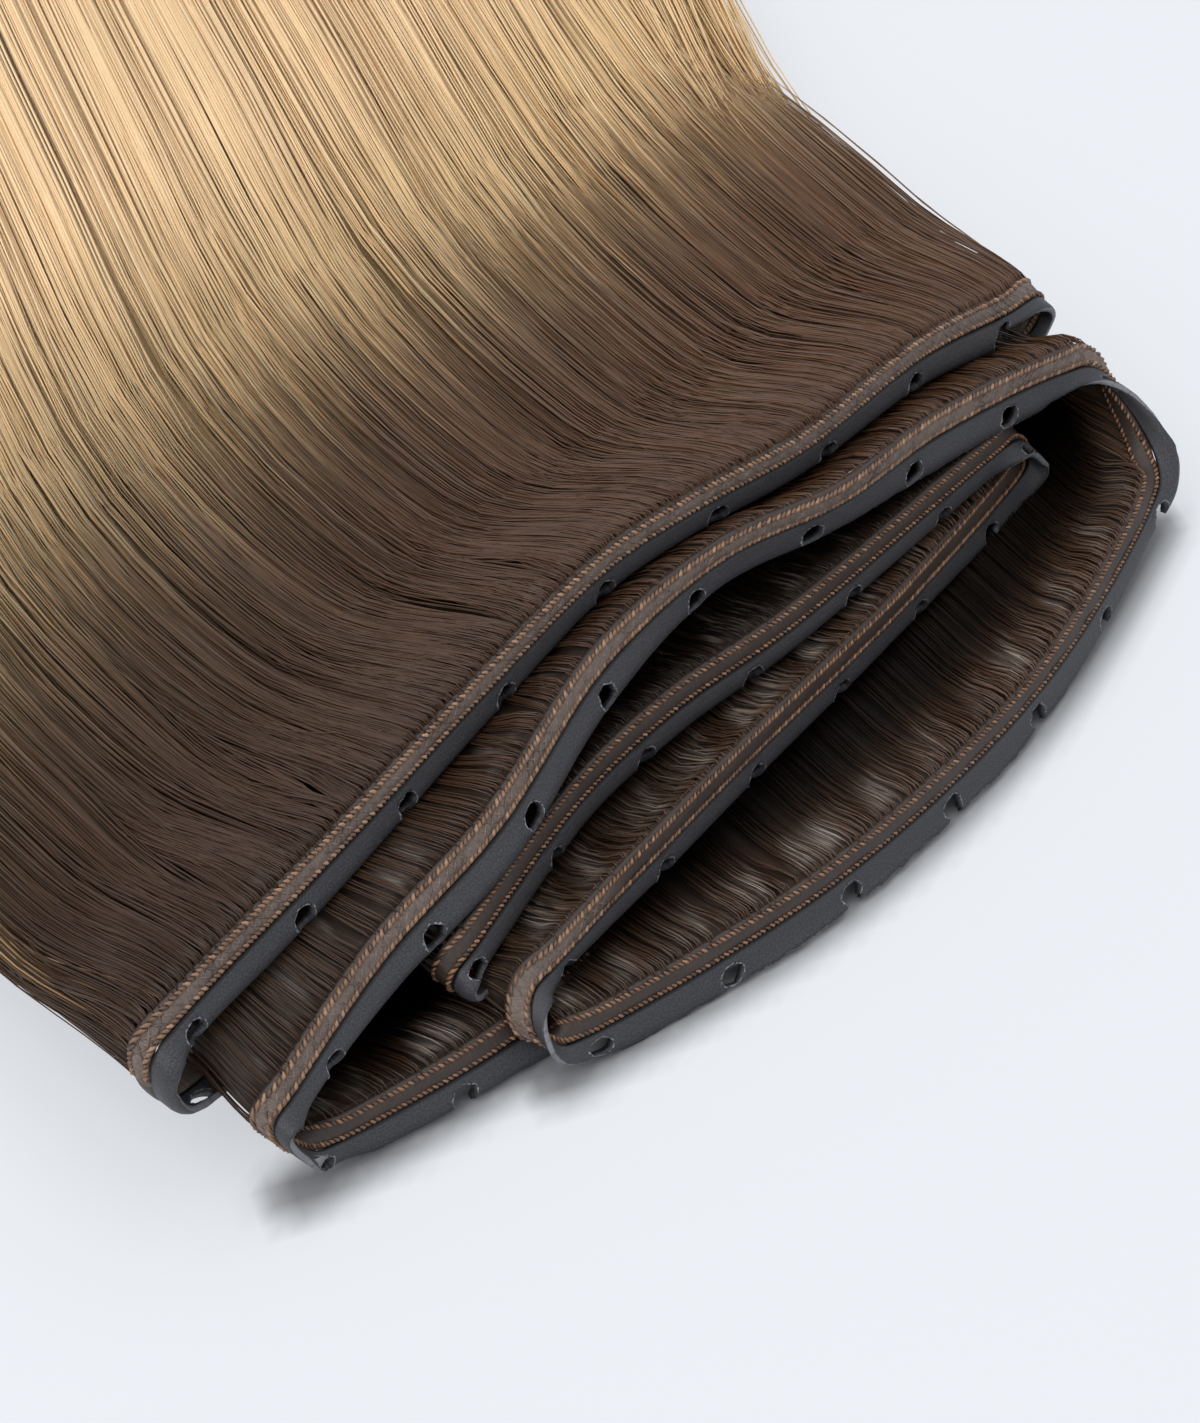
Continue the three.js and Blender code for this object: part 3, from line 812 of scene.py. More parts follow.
def thread_finish(name, dark, middle, light):
    """Sewing thread: fine twisted fibres, with some stitches paler than others."""
    finish = Finish(name)
    chance, along = finish.pattern()
    fibre = finish.noise(finish.point(chance * 40.0, along * 3.0, 0.0), scale=3.0)
    stops = [(0.2, paint(*dark)), (0.5, paint(*middle)), (0.85, paint(*light))]
    colour = finish.ramp(chance * 0.55 + fibre * 0.45, stops)
    bump = finish.bump(fibre, strength=0.4, distance=0.05 * MM)
    finish.surface(Base_Color=colour, Roughness=0.5, Normal=bump)
    return finish


bead_finish = thread_finish("bead_thread", (70, 51, 40), (112, 84, 64), (154, 121, 96))
mesh_finish = thread_finish("mesh_thread", (74, 61, 54), (96, 82, 74), (118, 102, 93))
plain_finish = thread_finish("row_thread", (56, 38, 27), (102, 72, 51), (146, 108, 80))


def stitches(name, rows, braid_side, finish, spans):
    """All stitches of one kind on one side of the weft."""
    place_in, thick = STITCH_SHAPE[:, 0], STITCH_SHAPE[:, 1]
    lines, radii, uvs, hints = [], [], [], []
    for row in rows:
        lengths = np.arange(2 * row.pitch * MM, WEFT_LENGTH - 2 * row.pitch * MM, row.pitch * MM)
        paler = np.arange(len(lengths)) % 2
        seen = np.any([(lengths > start) & (lengths < end) for start, end in spans], axis=0)
        lengths, paler = lengths[seen], paler[seen]
        side = np.where(lies_turned(lengths), -braid_side, braid_side)[:, None]
        random = dice.uniform(size=(3, len(lengths)))
        slant = row.slant + 0.12 * (random[0] - 0.5)
        along = lengths[:, None] + place_in * row.length * MM + 0.06 * MM * (random[1] - 0.5)[:, None]
        across = row.across * MM + place_in * slant[:, None] * row.length * MM
        height = BAND_THICKNESS / 2 * crowned(across) + (STITCH_PROUD - row.sunk) * MM
        arch = 0.5 * row.radius * MM * (1 - (2 * place_in) ** 2)
        lines.append(on_weft(along, across, side * (height + arch)))
        radii.append(np.broadcast_to(thick * row.radius * MM, along.shape))
        chance = (0.6 * random[2] + 0.4 * paler)[:, None]
        uvs.append(np.stack([np.broadcast_to(chance, along.shape), along / MM], axis=-1))
        hints.append(at_length(track_face, lengths)[:, None, :])
    lines, radii, uvs, hints = (np.concatenate(values) for values in (lines, radii, uvs, hints))
    mesh = tube_mesh(name, lines, radii, hints, uvs, STITCH_SIDES)
    add_piece(name, mesh, finish, "stitch_band")


stitches("stitches_beads", BEAD_ROWS, 1, bead_finish, [SEEN_TOP, SEEN_MESH])
stitches("stitches_mesh", MESH_ROWS, 1, mesh_finish, [SEEN_TOP, SEEN_MESH])
stitches("stitches_rows", PLAIN_ROWS, -1, plain_finish, [SEEN_TOP, SEEN_MESH, SEEN_REST])
# Plain rows on the mesh side of the inner runs, drawn like the dark side: painted shade.
stitches("stitches_shaded_inner_rows", PLAIN_ROWS, 1, plain_finish, [SEEN_REST])

# %% [markdown]
# ## How the hair lies
# Each strand leaves the band square to it, bends over, and then lies back into the pile. Seen from above,
# the hair sweeps round until it runs straight. The heights of the pile and the sweep repeat the solid's own
# values, so the strands fill the same form. Here and there the hair parts into locks, and a dark slit opens
# a little way from the band.

# %% Hair flow
BEND_LENGTH = 85 * MM
PILE_LEFT = -56 * MM - PILE_MIDDLE[0]
PILE_RIGHT = 60 * MM - PILE_MIDDLE[0]
LEFT_FAN = math.radians(25)
RIGHT_FAN = math.radians(14)
ROOT_TURN = math.radians(20)
ROOT_TURN_LENGTH = 32 * MM
CROWN_POWER = 3
SIDE_HEIGHT = 0.6
PILE_ALONG = np.array([0, 25, 60, 120, 220, 330, 400]) * MM
PILE_HEIGHT = np.array([27, 26, 22, 18, 14, 9, 3]) * MM
SWEEP_STEPS = 40
TUFT_PITCH = 1.1 * MM
TUFT_GATHER = 0.66
TUFT_SPREAD = 5 * MM
BEND_STEPS = 24
ROOT_REACH = BAND_END - 0.5 * MM
Layer = namedtuple("Layer", "level settle reach bend shown turn")
LAYERS = {
    "floor": Layer(0.06, 14, 82, 1.0, -1, 0.1),
    "front": Layer(0.16, 9, 82, 1.0, -1, 0.0),
    "inner": Layer(0.34, 5, 74, 0.8, 1, 0.4),
    "upperInner": Layer(0.53, 7, 70, 0.8, -1, 0.7),
    "middle": Layer(0.71, 10, 66, 0.8, 1, 1.0),
    "top": Layer(0.86, 20, 98, 1.2, -1, 1.0),
}
SIDE_ROUND = 0.05
SIDE_LOST = 0.6
EDGE_DEPTH = 0.25
BUNDLE_FIRST = -0.04
BUNDLE_LAST = 0.99
PART_PITCH = 9 * MM
PART_WIDTH = 2.6 * MM
part_dice = np.random.default_rng(52)
PART_AT = np.arange(0, WEFT_LENGTH, PART_PITCH)
PART_AT = PART_AT + part_dice.uniform(-0.45, 0.45, len(PART_AT)) * PART_PITCH
PART_OPEN = part_dice.uniform(0, 1, len(PART_AT)) ** 2 * 1.5 * MM
PART_END = part_dice.uniform(16, 40, len(PART_AT)) * MM
layer_spots = np.array([end for run in LAYERS for end in run_ends[run]])
layer_order = np.argsort(layer_spots)


def layer_value(column, lengths):
    """A column of the layer table along the weft, passing smoothly from run to run in the folds."""
    values = np.array([value for row in LAYERS.values() for value in [getattr(row, column)] * 2])
    return np.interp(lengths, layer_spots[layer_order], values[layer_order])


def layer_columns(lengths):
    """The hair's level, settling distance, bend and turn at distances along the weft."""
    return (layer_value(name, lengths)[:, None] for name in ("level", "settle", "bend", "turn"))


def edge_depth(lengths):
    """Hair lies thinner at the right end of the top run: a small share there, and 1 elsewhere."""
    full = smoothstep(lengths, top_start - 6 * MM, top_start + 14 * MM)
    return EDGE_DEPTH + (1 - EDGE_DEPTH) * full


def side_rounding(share):
    """0 at the bundle's two sides, and 1 a little way in from them."""
    from_side = np.minimum(share - BUNDLE_FIRST, BUNDLE_LAST - share) / SIDE_ROUND
    return np.sqrt(1 - (1 - np.clip(from_side, 0, 1)) ** 2)


def rounded_sides(share, along):
    """How far hair keeps its height: less towards the bundle's two sides, some way from the root."""
    lost = SIDE_LOST * (1 - side_rounding(share))
    return 1 - lost * smoothstep(along, 30 * MM, 100 * MM)


def top_share(lengths):
    """Where on the top run a length is: 0 at its right end and 1 at its left end. Other runs count as
    inside."""
    near = (lengths > top_start - 12 * MM) & (lengths < top_end + 12 * MM)
    return np.where(near, (lengths - top_start) / (top_end - top_start), 0.5)


def parted(lengths, along):
    """Moves that open dark slits where the hair parts into locks, a little way from the band."""
    nearest = np.argmin(np.abs(lengths[:, None] - PART_AT), axis=1)
    away = lengths - PART_AT[nearest]
    opening = np.sign(away) * PART_OPEN[nearest] * np.exp(-((away / PART_WIDTH) ** 2))
    ending = np.broadcast_to(PART_END[nearest][:, None], along.shape)
    lens = smoothstep(along, 1 * MM, 8 * MM) * (1 - smoothstep(along, 0.4 * ending, ending))
    return (opening[:, None] * lens)[..., None] * at_length(track_along, lengths)[:, None, :]


def share_across(x):
    return np.clip((x - PILE_LEFT) / (PILE_RIGHT - PILE_LEFT), 0, 1)


def pile_height(share, along):
    share = np.clip(share, 0, 1)
    crown = np.sqrt(1 - np.abs(2 * share - 1) ** CROWN_POWER)
    return np.interp(along, PILE_ALONG, PILE_HEIGHT) * (SIDE_HEIGHT + (1 - SIDE_HEIGHT) * crown)


def swept(share, along, stray=0.0, turn=1.0):
    """How far hair has moved over the table, by its place across the pile and its distance from the root.
    Near the root it is turned further to the left, and stray turns single lines."""
    fan = LEFT_FAN + (RIGHT_FAN - LEFT_FAN) * smoothstep(share, 0, 1)
    part = (np.arange(SWEEP_STEPS) + 0.5) / SWEEP_STEPS
    distance = along[..., None] * part
    inside = (1 - smoothstep(share, 0.75, 1)) * smoothstep(share, 0, 0.3)
    near_root = turn * ROOT_TURN * inside + stray
    heading = STRAIGHT_HEADING + fan[..., None] * (1 - smoothstep(distance, 0, BEND_LENGTH))
    heading = heading + near_root[..., None] * (1 - smoothstep(distance, 0, ROOT_TURN_LENGTH))
    return np.stack(
        [np.mean(np.cos(heading), axis=-1) * along, np.mean(np.sin(heading), axis=-1) * along],
        axis=-1,
    )


def bent_over(lean, along, bend):
    """How far hair has risen and moved on after it left the band at a lean and bent over."""
    part = (np.arange(BEND_STEPS) + 0.5) / BEND_STEPS
    within = np.minimum(along, bend)
    straightened = smoothstep(within[..., None] * part, 0, np.asarray(bend)[..., None])
    steepness = lean[..., None] * (1 - straightened)
    rise = np.mean(np.sin(steepness), axis=-1) * within
    over = np.mean(np.cos(steepness), axis=-1) * within + (along - within)
    return rise, over


def hair_lines(lengths, along, resting, settle, bend, lift, stray=0.0, reach=ROOT_REACH, turn=1.0):
    """Lines of hair from places along the weft. along, resting and what bends it are lines by points."""
    tuft = (np.floor(lengths / TUFT_PITCH) + 0.5) * TUFT_PITCH
    reach = np.broadcast_to(reach, lengths.shape)
    near = on_weft(tuft + TUFT_GATHER * (lengths - tuft), reach, lift)
    far = on_weft(lengths, reach, lift)
    spread = smoothstep(along, 0, TUFT_SPREAD)[..., None]
    root = near[:, None] + (far - near)[:, None] * spread
    start_lean = np.arcsin(np.clip(at_length(track_hair, lengths)[:, 2], -1, 1))[:, None]
    rise, over = bent_over(start_lean, along, bend)
    share = share_across(far[:, :1]) * np.ones_like(along)
    free = root[..., 2] + rise
    height = free + (resting - free) * smoothstep(along, 0.5 * bend, settle)
    moved = swept(share, over, stray, turn)
    return np.concatenate([root[..., :2] + moved, height[..., None]], axis=-1)


print("layers of hair:", ", ".join(LAYERS))

# %% [markdown]
# ## The hair's finish
# The hair is dyed: ash brown at the roots, an olive blend for a few centimetres, and warm blonde from there
# on. Strands differ, so each carries a chance number in its UV map that shifts where its colour turns and
# how pale it is. The sheets under the strands take the same colours, with fine streaks drawn along them;
# their darker streaks are painted shade between strands, and their roots are darker still, as painted
# shade between the root tufts. The dark part of the hair is painted darker on the left and lighter on the
# right: painted shade and painted sheen. Hair deep in the pile gets no light, so its finish has painted
# shade that darkens away from the root, with a few painted glints close to it.

# %% Hair finish
HAIR_STOPS = [
    (0.0, (72, 52, 39)),
    (0.062, (86, 64, 48)),
    (0.09, (102, 80, 61)),
    (0.113, (138, 114, 86)),
    (0.138, (178, 152, 115)),
    (0.163, (206, 178, 135)),
    (0.188, (213, 183, 140)),
    (0.225, (223, 192, 150)),
    (0.6, (226, 196, 155)),
    (1.0, (223, 189, 145)),
]
TURN_SPREAD = 0.06
# Darker and lighter tones: random per strand, and on the sheets the dark streaks are painted shade between
# strands.
TONE_AND_GAP_SHADE_STOPS = [(0.28, (0.50, 0.45, 0.41)), (0.45, (0.88, 0.86, 0.84)), (0.65, (1.0, 1.0, 1.0))]
COOL_TINT = (0.95, 0.98, 1.0)
WARM_TINT = (1.12, 0.98, 0.86)
# Greyer tints for the shaded copy of the hair finish, part of its painted shade.
SHADED_COOL_TINT = (0.88, 0.96, 1.04)
SHADED_WARM_TINT = (1.0, 0.98, 0.94)
# Painted shade and painted sheen: the dark part of the hair is darker on the left and lighter on the right.
LEFT_PAINTED_SHADE = 0.62
RIGHT_PAINTED_SHEEN = 1.45
LEFT_EARLIER = 0.014
DARK_UNTIL = 0.1
PALE_FROM = 0.22
# Where and how strongly deep hair gets painted shade away from its root.
DEEP_SHADE_FROM = 0.006
DEEP_SHADE_TO = 0.028
DEEP_PAINTED_SHADE = 0.92
# Colour of the painted glints near the roots of deep hair.
PAINTED_GLINT = paint(186, 174, 164)
# The sheets' roots are darker than the strands': painted shade in the gaps between the root tufts.
SHADED_ROOT_SHEET_STOPS = [(0.0, (30, 21, 16)), (0.02, (58, 42, 31))] + HAIR_STOPS[1:]


def hair_finish(name, streaked, deep=0.0):
    """Root-to-tip colour. Strands take one tone each, and a sheet has streaks across it, whose darker lines
    are painted shade. Deep hair, which runs in under other hair, gets painted shade that darkens away from
    its root, and painted glints near it."""
    finish = Finish(name)
    across, along = finish.pattern()
    if streaked:
        broad = finish.noise(finish.point(across * 0.9, along * 6.0, 0.0), scale=1.0)
        fine_place = finish.point(across * 5.0, along * 9.0, 2.0)
        fine = finish.noise(fine_place, scale=1.0, detail=3.0, roughness=0.7)
        tone = broad * 0.35 + fine * 0.65
    else:
        broad = finish.noise(finish.point(across * 60.0, along * 4.0, 0.0), scale=1.0)
        fine = finish.noise(finish.point(across * 900.0, along * 30.0, 2.0), scale=1.0)
        tone = broad * 0.55 + fine * 0.45
    rows = SHADED_ROOT_SHEET_STOPS if streaked else HAIR_STOPS
    place_x = finish.parts(finish.object_place())[0]
    rightwards = finish.between(place_x, PILE_LEFT, PILE_RIGHT)
    turned = along + (tone - 0.5) * (2.0 * TURN_SPREAD) + (1 - rightwards) * LEFT_EARLIER
    colour = finish.ramp(turned, [(position, paint(*seen)) for position, seen in rows])
    dark_part = 1 - finish.between(along, DARK_UNTIL, PALE_FROM)
    # Random tone on strands, and painted shade between strands on the sheets; weaker in the blonde part.
    shade = finish.ramp(tone, TONE_AND_GAP_SHADE_STOPS)
    toned = finish.multiplied(colour, shade, 0.15 + dark_part * 0.85)
    warmth = finish.noise(finish.point(across * 311.0, 0.0, 5.0), scale=1.0, detail=1.0)
    # The shaded copy takes greyer tints as part of its painted shade.
    cool, warm = (SHADED_COOL_TINT, SHADED_WARM_TINT) if deep else (COOL_TINT, WARM_TINT)
    tint = finish.blended(cool, warm, finish.between(warmth, 0.4, 0.6))
    toned = finish.multiplied(toned, tint, dark_part)
    # Painted shade on the left and painted sheen on the right of the pile.
    drift = LEFT_PAINTED_SHADE + rightwards * (RIGHT_PAINTED_SHEEN - LEFT_PAINTED_SHADE)
    # Painted shade: deep hair darkens away from its root.
    drift = drift * (1 - finish.between(along, DEEP_SHADE_FROM, DEEP_SHADE_TO) * deep)
    toned = finish.multiplied(toned, finish.point(drift, drift, drift), dark_part)
    # Painted glints: pale patches near the roots of deep hair stand in for highlights.
    if deep:
        patches = finish.noise(finish.point(place_x * 150.0, 0.0, 3.0), scale=1.0)
        painted_glint = finish.between(along, 0.002, 0.007) * (1 - finish.between(along, 0.009, 0.02))
        painted_glint = painted_glint * finish.between(patches, 0.42, 0.68) * finish.between(tone, 0.4, 0.62)
        toned = finish.blended(toned, PAINTED_GLINT, painted_glint * 0.8)
    rough = 0.3 + (1 - tone) * 0.2 + (1 - dark_part) * 0.22
    if streaked:
        bump = finish.bump(fine, strength=0.7, distance=0.25 * MM)
        finish.surface(Base_Color=toned, Roughness=rough + 0.15, Normal=bump, Specular_IOR_Level=0.2)
    else:
        finish.surface(Base_Color=toned, Roughness=rough, Specular_IOR_Level=0.3)
    return finish


sheet_finish = hair_finish("hair_sheet", True)
# Shaded copies of the hair finishes, for hair deep in the pile: painted shade.
shaded_sheet_finish = hair_finish("shaded_hair_sheet", True, DEEP_PAINTED_SHADE)
strand_finish = hair_finish("hair_strand", False)
shaded_strand_finish = hair_finish("shaded_hair_strand", False, DEEP_PAINTED_SHADE)
print("hair finish:", len(strand_finish.tree.nodes), "nodes")

# %% [markdown]
# ## Sheets of hair under the strands
# A weft's hair hangs in a dense curtain, and a curtain of single strands alone would need millions of them.
# So thin sheets follow the hair's flow, and the loose strands lie over them: one sheet for the lower runs
# with the folds between them, and one for the top run. A sheet is a flat grid, along the weft and along the
# hair, that is carried on to the flow. Its faces are then extruded, and each corner of the copy is pushed
# inwards, so the sheet has a thickness that stays even where the flow bends sharply.

# %% Curtain sheets
SHEET_ROWS = 20
SHEET_COLUMN = 1.6 * MM
SHEET_THICKNESS = 0.4 * MM
SHEET_BEHIND = 0.15 * MM
SHEET_LOWEST = 0.3 * MM
SHEET_END_SINK = 2.5 * MM
SHEET_SHORTEST = 0.05 * MM
ROOT_CLUSTER = 2.2
PATH_STEPS = 30
Sheet = namedtuple("Sheet", "name first last before after sink shorter finish")
SHEETS = [
    Sheet("lower", "floor", "upperInner", 0, 0, 0.7 * MM, 0.45, shaded_sheet_finish),
    Sheet("top", "top", "top", 6.5 * MM, 4 * MM, 2.4 * MM, 0.4, sheet_finish),
]


def mapped_grid(bm, columns, rows, across_scale, along_place):
    """A unit grid with its UV map, and the two shares of each corner: across and along."""
    flat_grid(bm, (0, 0), (1, 1), columns, rows)
    pattern_map = bm.loops.layers.uv.new("pattern")
    for face in bm.faces:
        for loop in face.loops:
            spot = loop.vert.co
            loop[pattern_map].uv = (spot.x * across_scale, along_place(spot.x, spot.y) / HAIR_LENGTH)
    shares = np.array([v.co for v in bm.verts])
    return shares[:, 0], shares[:, 1]


def curtain(sheet):
    """A sheet of hair from the first run to the last, with the folds between them."""
    bm = bmesh.new()
    start = run_ends[sheet.first][0] - sheet.before
    width = run_ends[sheet.last][1] + sheet.after - start

    def reached(across, down):
        lengths = start + width * across
        at_right = smoothstep(share_across(at_length(track_at, lengths)[..., 0]), 0.7, 1.0)
        shorter = 1 - sheet.shorter * at_right
        return down**ROOT_CLUSTER * layer_value("reach", lengths) * shorter * MM

    across, down = mapped_grid(bm, int(width / SHEET_COLUMN), SHEET_ROWS, width / MM, reached)
    lengths = start + width * across
    path = np.maximum(reached(across, down), SHEET_SHORTEST)[:, None] * np.linspace(0, 1, PATH_STEPS)
    behind = -layer_value("shown", lengths) * SHEET_BEHIND
    root = on_weft(lengths, np.full(len(lengths), ROOT_REACH), behind)
    share = share_across(root[:, :1]) * np.ones_like(path)
    level, settle, bend, turn = layer_columns(lengths)
    resting = level * pile_height(share, path) * rounded_sides(top_share(lengths)[:, None], path)
    lines = hair_lines(lengths, path, resting, settle * MM, bend * MM, behind, turn=turn)
    outward = np.cross(at_length(track_along, lengths), unit(lines[:, -1] - lines[:, -2] + 1e-9))
    outward = unit(outward) * layer_value("shown", lengths)[:, None]
    sink = sheet.sink * edge_depth(lengths) * smoothstep(path[:, -1], 0, 5 * MM)
    sink = SHEET_BEHIND + sink + SHEET_END_SINK * smoothstep(down, 0.85, 1)
    spots = lines[:, -1] - sink[:, None] * outward
    spots[:, 2] = np.maximum(spots[:, 2], SHEET_LOWEST)
    inner = spots - SHEET_THICKNESS * outward
    inner[:, 2] = np.maximum(inner[:, 2], SHEET_LOWEST - 0.3 * SHEET_THICKNESS)
    push = bm.verts.layers.float_vector.new("push")
    for vert, spot, inner_spot in zip(bm.verts, spots, inner):
        vert.co = spot
        vert[push] = inner_spot - spot
    copied = bmesh.ops.extrude_face_region(bm, geom=bm.faces[:], use_keep_orig=True)["geom"]
    for vert in (part for part in copied if isinstance(part, bmesh.types.BMVert)):
        vert.co += vert[push]
    add_cut_piece(f"hair_curtain_{sheet.name}", bm, sheet.finish, "hair")


for sheet in SHEETS:
    curtain(sheet)

# %% [markdown]
# ## The bundle's core
# Behind the folds all the hair lies together in one bundle on the table. Only its outside can be seen, so a
# closed core carries the strands. It is a grid wrapped round into a tube: half of it goes over the top,
# down to both rounded sides, and half lies flat underneath. Shallow valleys on top show where the hair
# parts into locks. Its end is notched between the locks and flattened, so that it stays hidden under their
# tips.

# %% Bundle core
LOCKS = 11
LOCK_RELIEF = 2 * MM
BUNDLE_START = 46 * MM
BUNDLE_FULL = 95 * MM
LEFT_LATER = 34 * MM
CORE_END = 338 * MM
CORE_ACROSS = 100
LOCK_NOTCH = 60 * MM
CORE_ALONG = 40
CORE_PATTERN = 166
CORE_SINK = 1.9 * MM
CORE_START_SINK = 3 * MM
CORE_LOWEST = 0.15 * MM
CORE_TAPER = 0.75
TIP_START = 320 * MM
TIP_SHORTENINGS = np.array([0, 18, 36, 9, 27]) * MM
TIP_ALONG = np.array([306, 340, 375, 400]) * MM
TIP_WIDTH = np.array([0.98, 0.8, 0.5, 0.12])


def lock_crown(share):
    """1 along the middle of each lock, and 0 between two."""
    return np.abs(np.sin(math.pi * LOCKS * share))


def lock_number(share):
    return np.clip(np.floor(share * LOCKS), 0, LOCKS - 1).astype(int)


def tip_shortening(share):
    """How much earlier than the longest one a lock ends."""
    return TIP_SHORTENINGS[lock_number(share) % len(TIP_SHORTENINGS)]


def bundle_height(share, along):
    """The bundle's top, ridged by its locks."""
    risen = smoothstep(along, BUNDLE_START, BUNDLE_FULL)
    ridge = LOCK_RELIEF * risen * (lock_crown(share) - 1)
    return np.maximum(pile_height(share, along) * (0.86 + 0.14 * risen) + ridge, 1 * MM)


def bundle_points(share, along, height):
    """Points of the bundle from shares across it, distances along it and heights over the table."""
    lengths = top_start + (top_end - top_start) * share
    reach = np.full(np.shape(share), ROOT_REACH)
    root = on_weft(lengths, reach, np.zeros(np.shape(share)))
    moved = swept(share_across(root[..., 0]), along)
    return np.concatenate([root[..., :2] + moved, height[..., None]], axis=-1)


def core_place(across, down):
    return BUNDLE_START + down * (CORE_END - BUNDLE_START)


core = bmesh.new()
around, along_share = mapped_grid(core, CORE_ACROSS, CORE_ALONG, CORE_PATTERN, core_place)
on_top = around <= 0.5
core_share = np.where(on_top, 2 * around, 2 - 2 * around)
core_share = BUNDLE_FIRST + (BUNDLE_LAST - BUNDLE_FIRST) * core_share
notched = LOCK_NOTCH * (1 - lock_crown(core_share))
core_start = BUNDLE_START + LEFT_LATER * smoothstep(core_share, 0.7, 1)
core_end = CORE_END - 0.8 * tip_shortening(core_share) - notched
core_along = core_start + along_share * (core_end - core_start)
before_end = along_share < 0.999
tapered = (1 - CORE_TAPER * smoothstep(core_along, TIP_START - 30 * MM, CORE_END)) * before_end
core_sink = CORE_SINK + CORE_START_SINK * (1 - smoothstep(along_share, 0, 0.12))
core_top = (bundle_height(core_share, core_along) - core_sink) * side_rounding(core_share) * tapered
core_height = np.where(on_top, core_top, 0)
move_corners(core, bundle_points(core_share, core_along, np.maximum(core_height, CORE_LOWEST)))
bmesh.ops.remove_doubles(core, verts=core.verts, dist=0.02 * MM)
bmesh.ops.holes_fill(core, edges=[e for e in core.edges if e.is_boundary], sides=0)
add_cut_piece("hair_bundle_core", core, sheet_finish, "hair")

# %% [markdown]
# ## Strands from the runs
# Where hair leaves the band, single strands show: they stand in small tufts between the stitches, and dark
# gaps lie between the tufts. Each run gets its own strands, which spread, bend over and run back into the
# pile. The upper inner run lies in the shade of the run above, so its strands are coloured as if they
# started further in.

# %% Root strands
STRAND_RADIUS = 0.09 * MM
STRAND_LOWEST = 0.3 * MM
DEEP_PARTING = 0.45
ACROSS_PILE = np.array([1.0, 0.0, 0.0])
SHORT_STEPS = np.array([0, 1.2, 3, 6, 10, 15, 20, 27, 38, 52]) * MM
SHORT_TAPER = np.array([0.75, 0.9, 1, 1, 1, 1, 1, 1, 0.9, 0.3])
RootStrands = namedtuple("RootStrands", "run count before after shaded", defaults=[0])
TOP_STRANDS = [
    RootStrands("top", 930, 5, 6),
    RootStrands("middle", 760, 4, 14),
    RootStrands("top", 100, 7, -117),
]
DEEP_STRANDS = [
    RootStrands("floor", 340, 0, 6),
    RootStrands("front", 640, 10, 5),
    RootStrands("inner", 560, 5, 5),
    RootStrands("upperInner", 480, 5, 3, 8),
]


def strand_uvs(along):
    """Each strand's chance number, and how far along the hair each of its points is."""
    chance = dice.uniform(size=(len(along), 1)) * np.ones_like(along)
    return np.stack([chance, along / HAIR_LENGTH], axis=-1)


def add_strands(name, sets, finish):
    """Joins sets of strands into one piece. A set is its lines, their radii and their UV places."""
    lines, radii, uvs = (np.concatenate(values) for values in zip(*sets))
    mesh = tube_mesh(name, lines, radii, ACROSS_PILE, uvs)
    add_piece(name, mesh, finish, "hair")


def root_strands(row):
    """Short strands along one run."""
    start, end = run_ends[row.run]
    lengths = dice.uniform(start - row.before * MM, end + row.after * MM, row.count)
    along = SHORT_STEPS * dice.uniform(0.85, 1.05, row.count)[:, None]
    level, settle, bend, turn = layer_columns(lengths)
    shown = layer_value("shown", lengths)
    side = np.where(dice.uniform(-1, 1, row.count) < shown, 1, -1)
    lift = side * dice.uniform(0.2, 0.58, row.count) * MM
    reach = BAND_END - dice.uniform(0.15, 0.7, row.count) * MM
    root_x = on_weft(lengths, np.full(row.count, ROOT_REACH), lift)[:, :1]
    share = share_across(root_x) * np.ones_like(along)
    depth = dice.uniform(-0.55, 0.1, row.count)[:, None] * MM * smoothstep(along, 0, 6 * MM)
    rounded = rounded_sides(top_share(lengths)[:, None], along)
    resting = np.maximum(level * pile_height(share, along) * rounded + depth, STRAND_LOWEST)
    bend = bend * MM * dice.uniform(0.8, 1.3, row.count)[:, None]
    lines = hair_lines(lengths, along, resting, settle * MM, bend, lift, reach=reach, turn=turn)
    parting = np.where(turn < 1, DEEP_PARTING, 1)
    lines += parted(lengths, along) * parting[..., None]
    lines[..., 0] += dice.normal(0, 1, (row.count, 1)) * 0.35 * MM * smoothstep(along, 2 * MM, 30 * MM)
    radii = SHORT_TAPER * STRAND_RADIUS * dice.uniform(0.7, 1.15, row.count)[:, None]
    return lines, radii, strand_uvs(along + row.shaded * MM)


add_strands("hair_root_strands_top", [root_strands(row) for row in TOP_STRANDS], strand_finish)
add_strands("hair_root_strands_deep", [root_strands(row) for row in DEEP_STRANDS], shaded_strand_finish)

# %% [markdown]
# ## Strands over the bundle
# The long strands run from the top run's band to the tips. They lie in locks: towards the ends each lock
# draws together, and its strands end at different lengths, so the bundle ends in points. A few loose hairs
# lie over the others. At the right edge some strands drift outwards, and at the left edge some are paler.
# Away from the roots each strand is drawn thicker than a hair, so that fewer of them close the surface.

# %% Long strands
LONG_STEPS = [0, 1.2, 3, 6, 10, 14, 18, 22, 27, 33, 41, 51, 63, 78, 96, 120, 165, 240, 320, 400]
LONG_STEPS = np.array(LONG_STEPS) * MM
LONG_TAPER = [0.75, 0.9] + [1] * 8 + [1.05, 1.15, 1.35, 1.65, 2.0, 2.1, 2.1, 1.7, 1.0, 0.15]
LONG_TAPER = np.array(LONG_TAPER)
SHARED_STEPS = 120 * MM
STRAND_DEPTH = 2.4 * MM
LOCK_PITCH = 6.5 * MM
LOCK_TURN = math.radians(9)
LOCK_LIFT = 1.2 * MM
StrandSet = namedtuple("StrandSet", "count loose first last drift paler thickness")
EVEN_SET = StrandSet(1220, 0, 0.004, 1.03, 0, 0, 1)
LOOSE_SET = StrandSet(45, 1, 0.004, 1.03, 0, 0, 0.55)
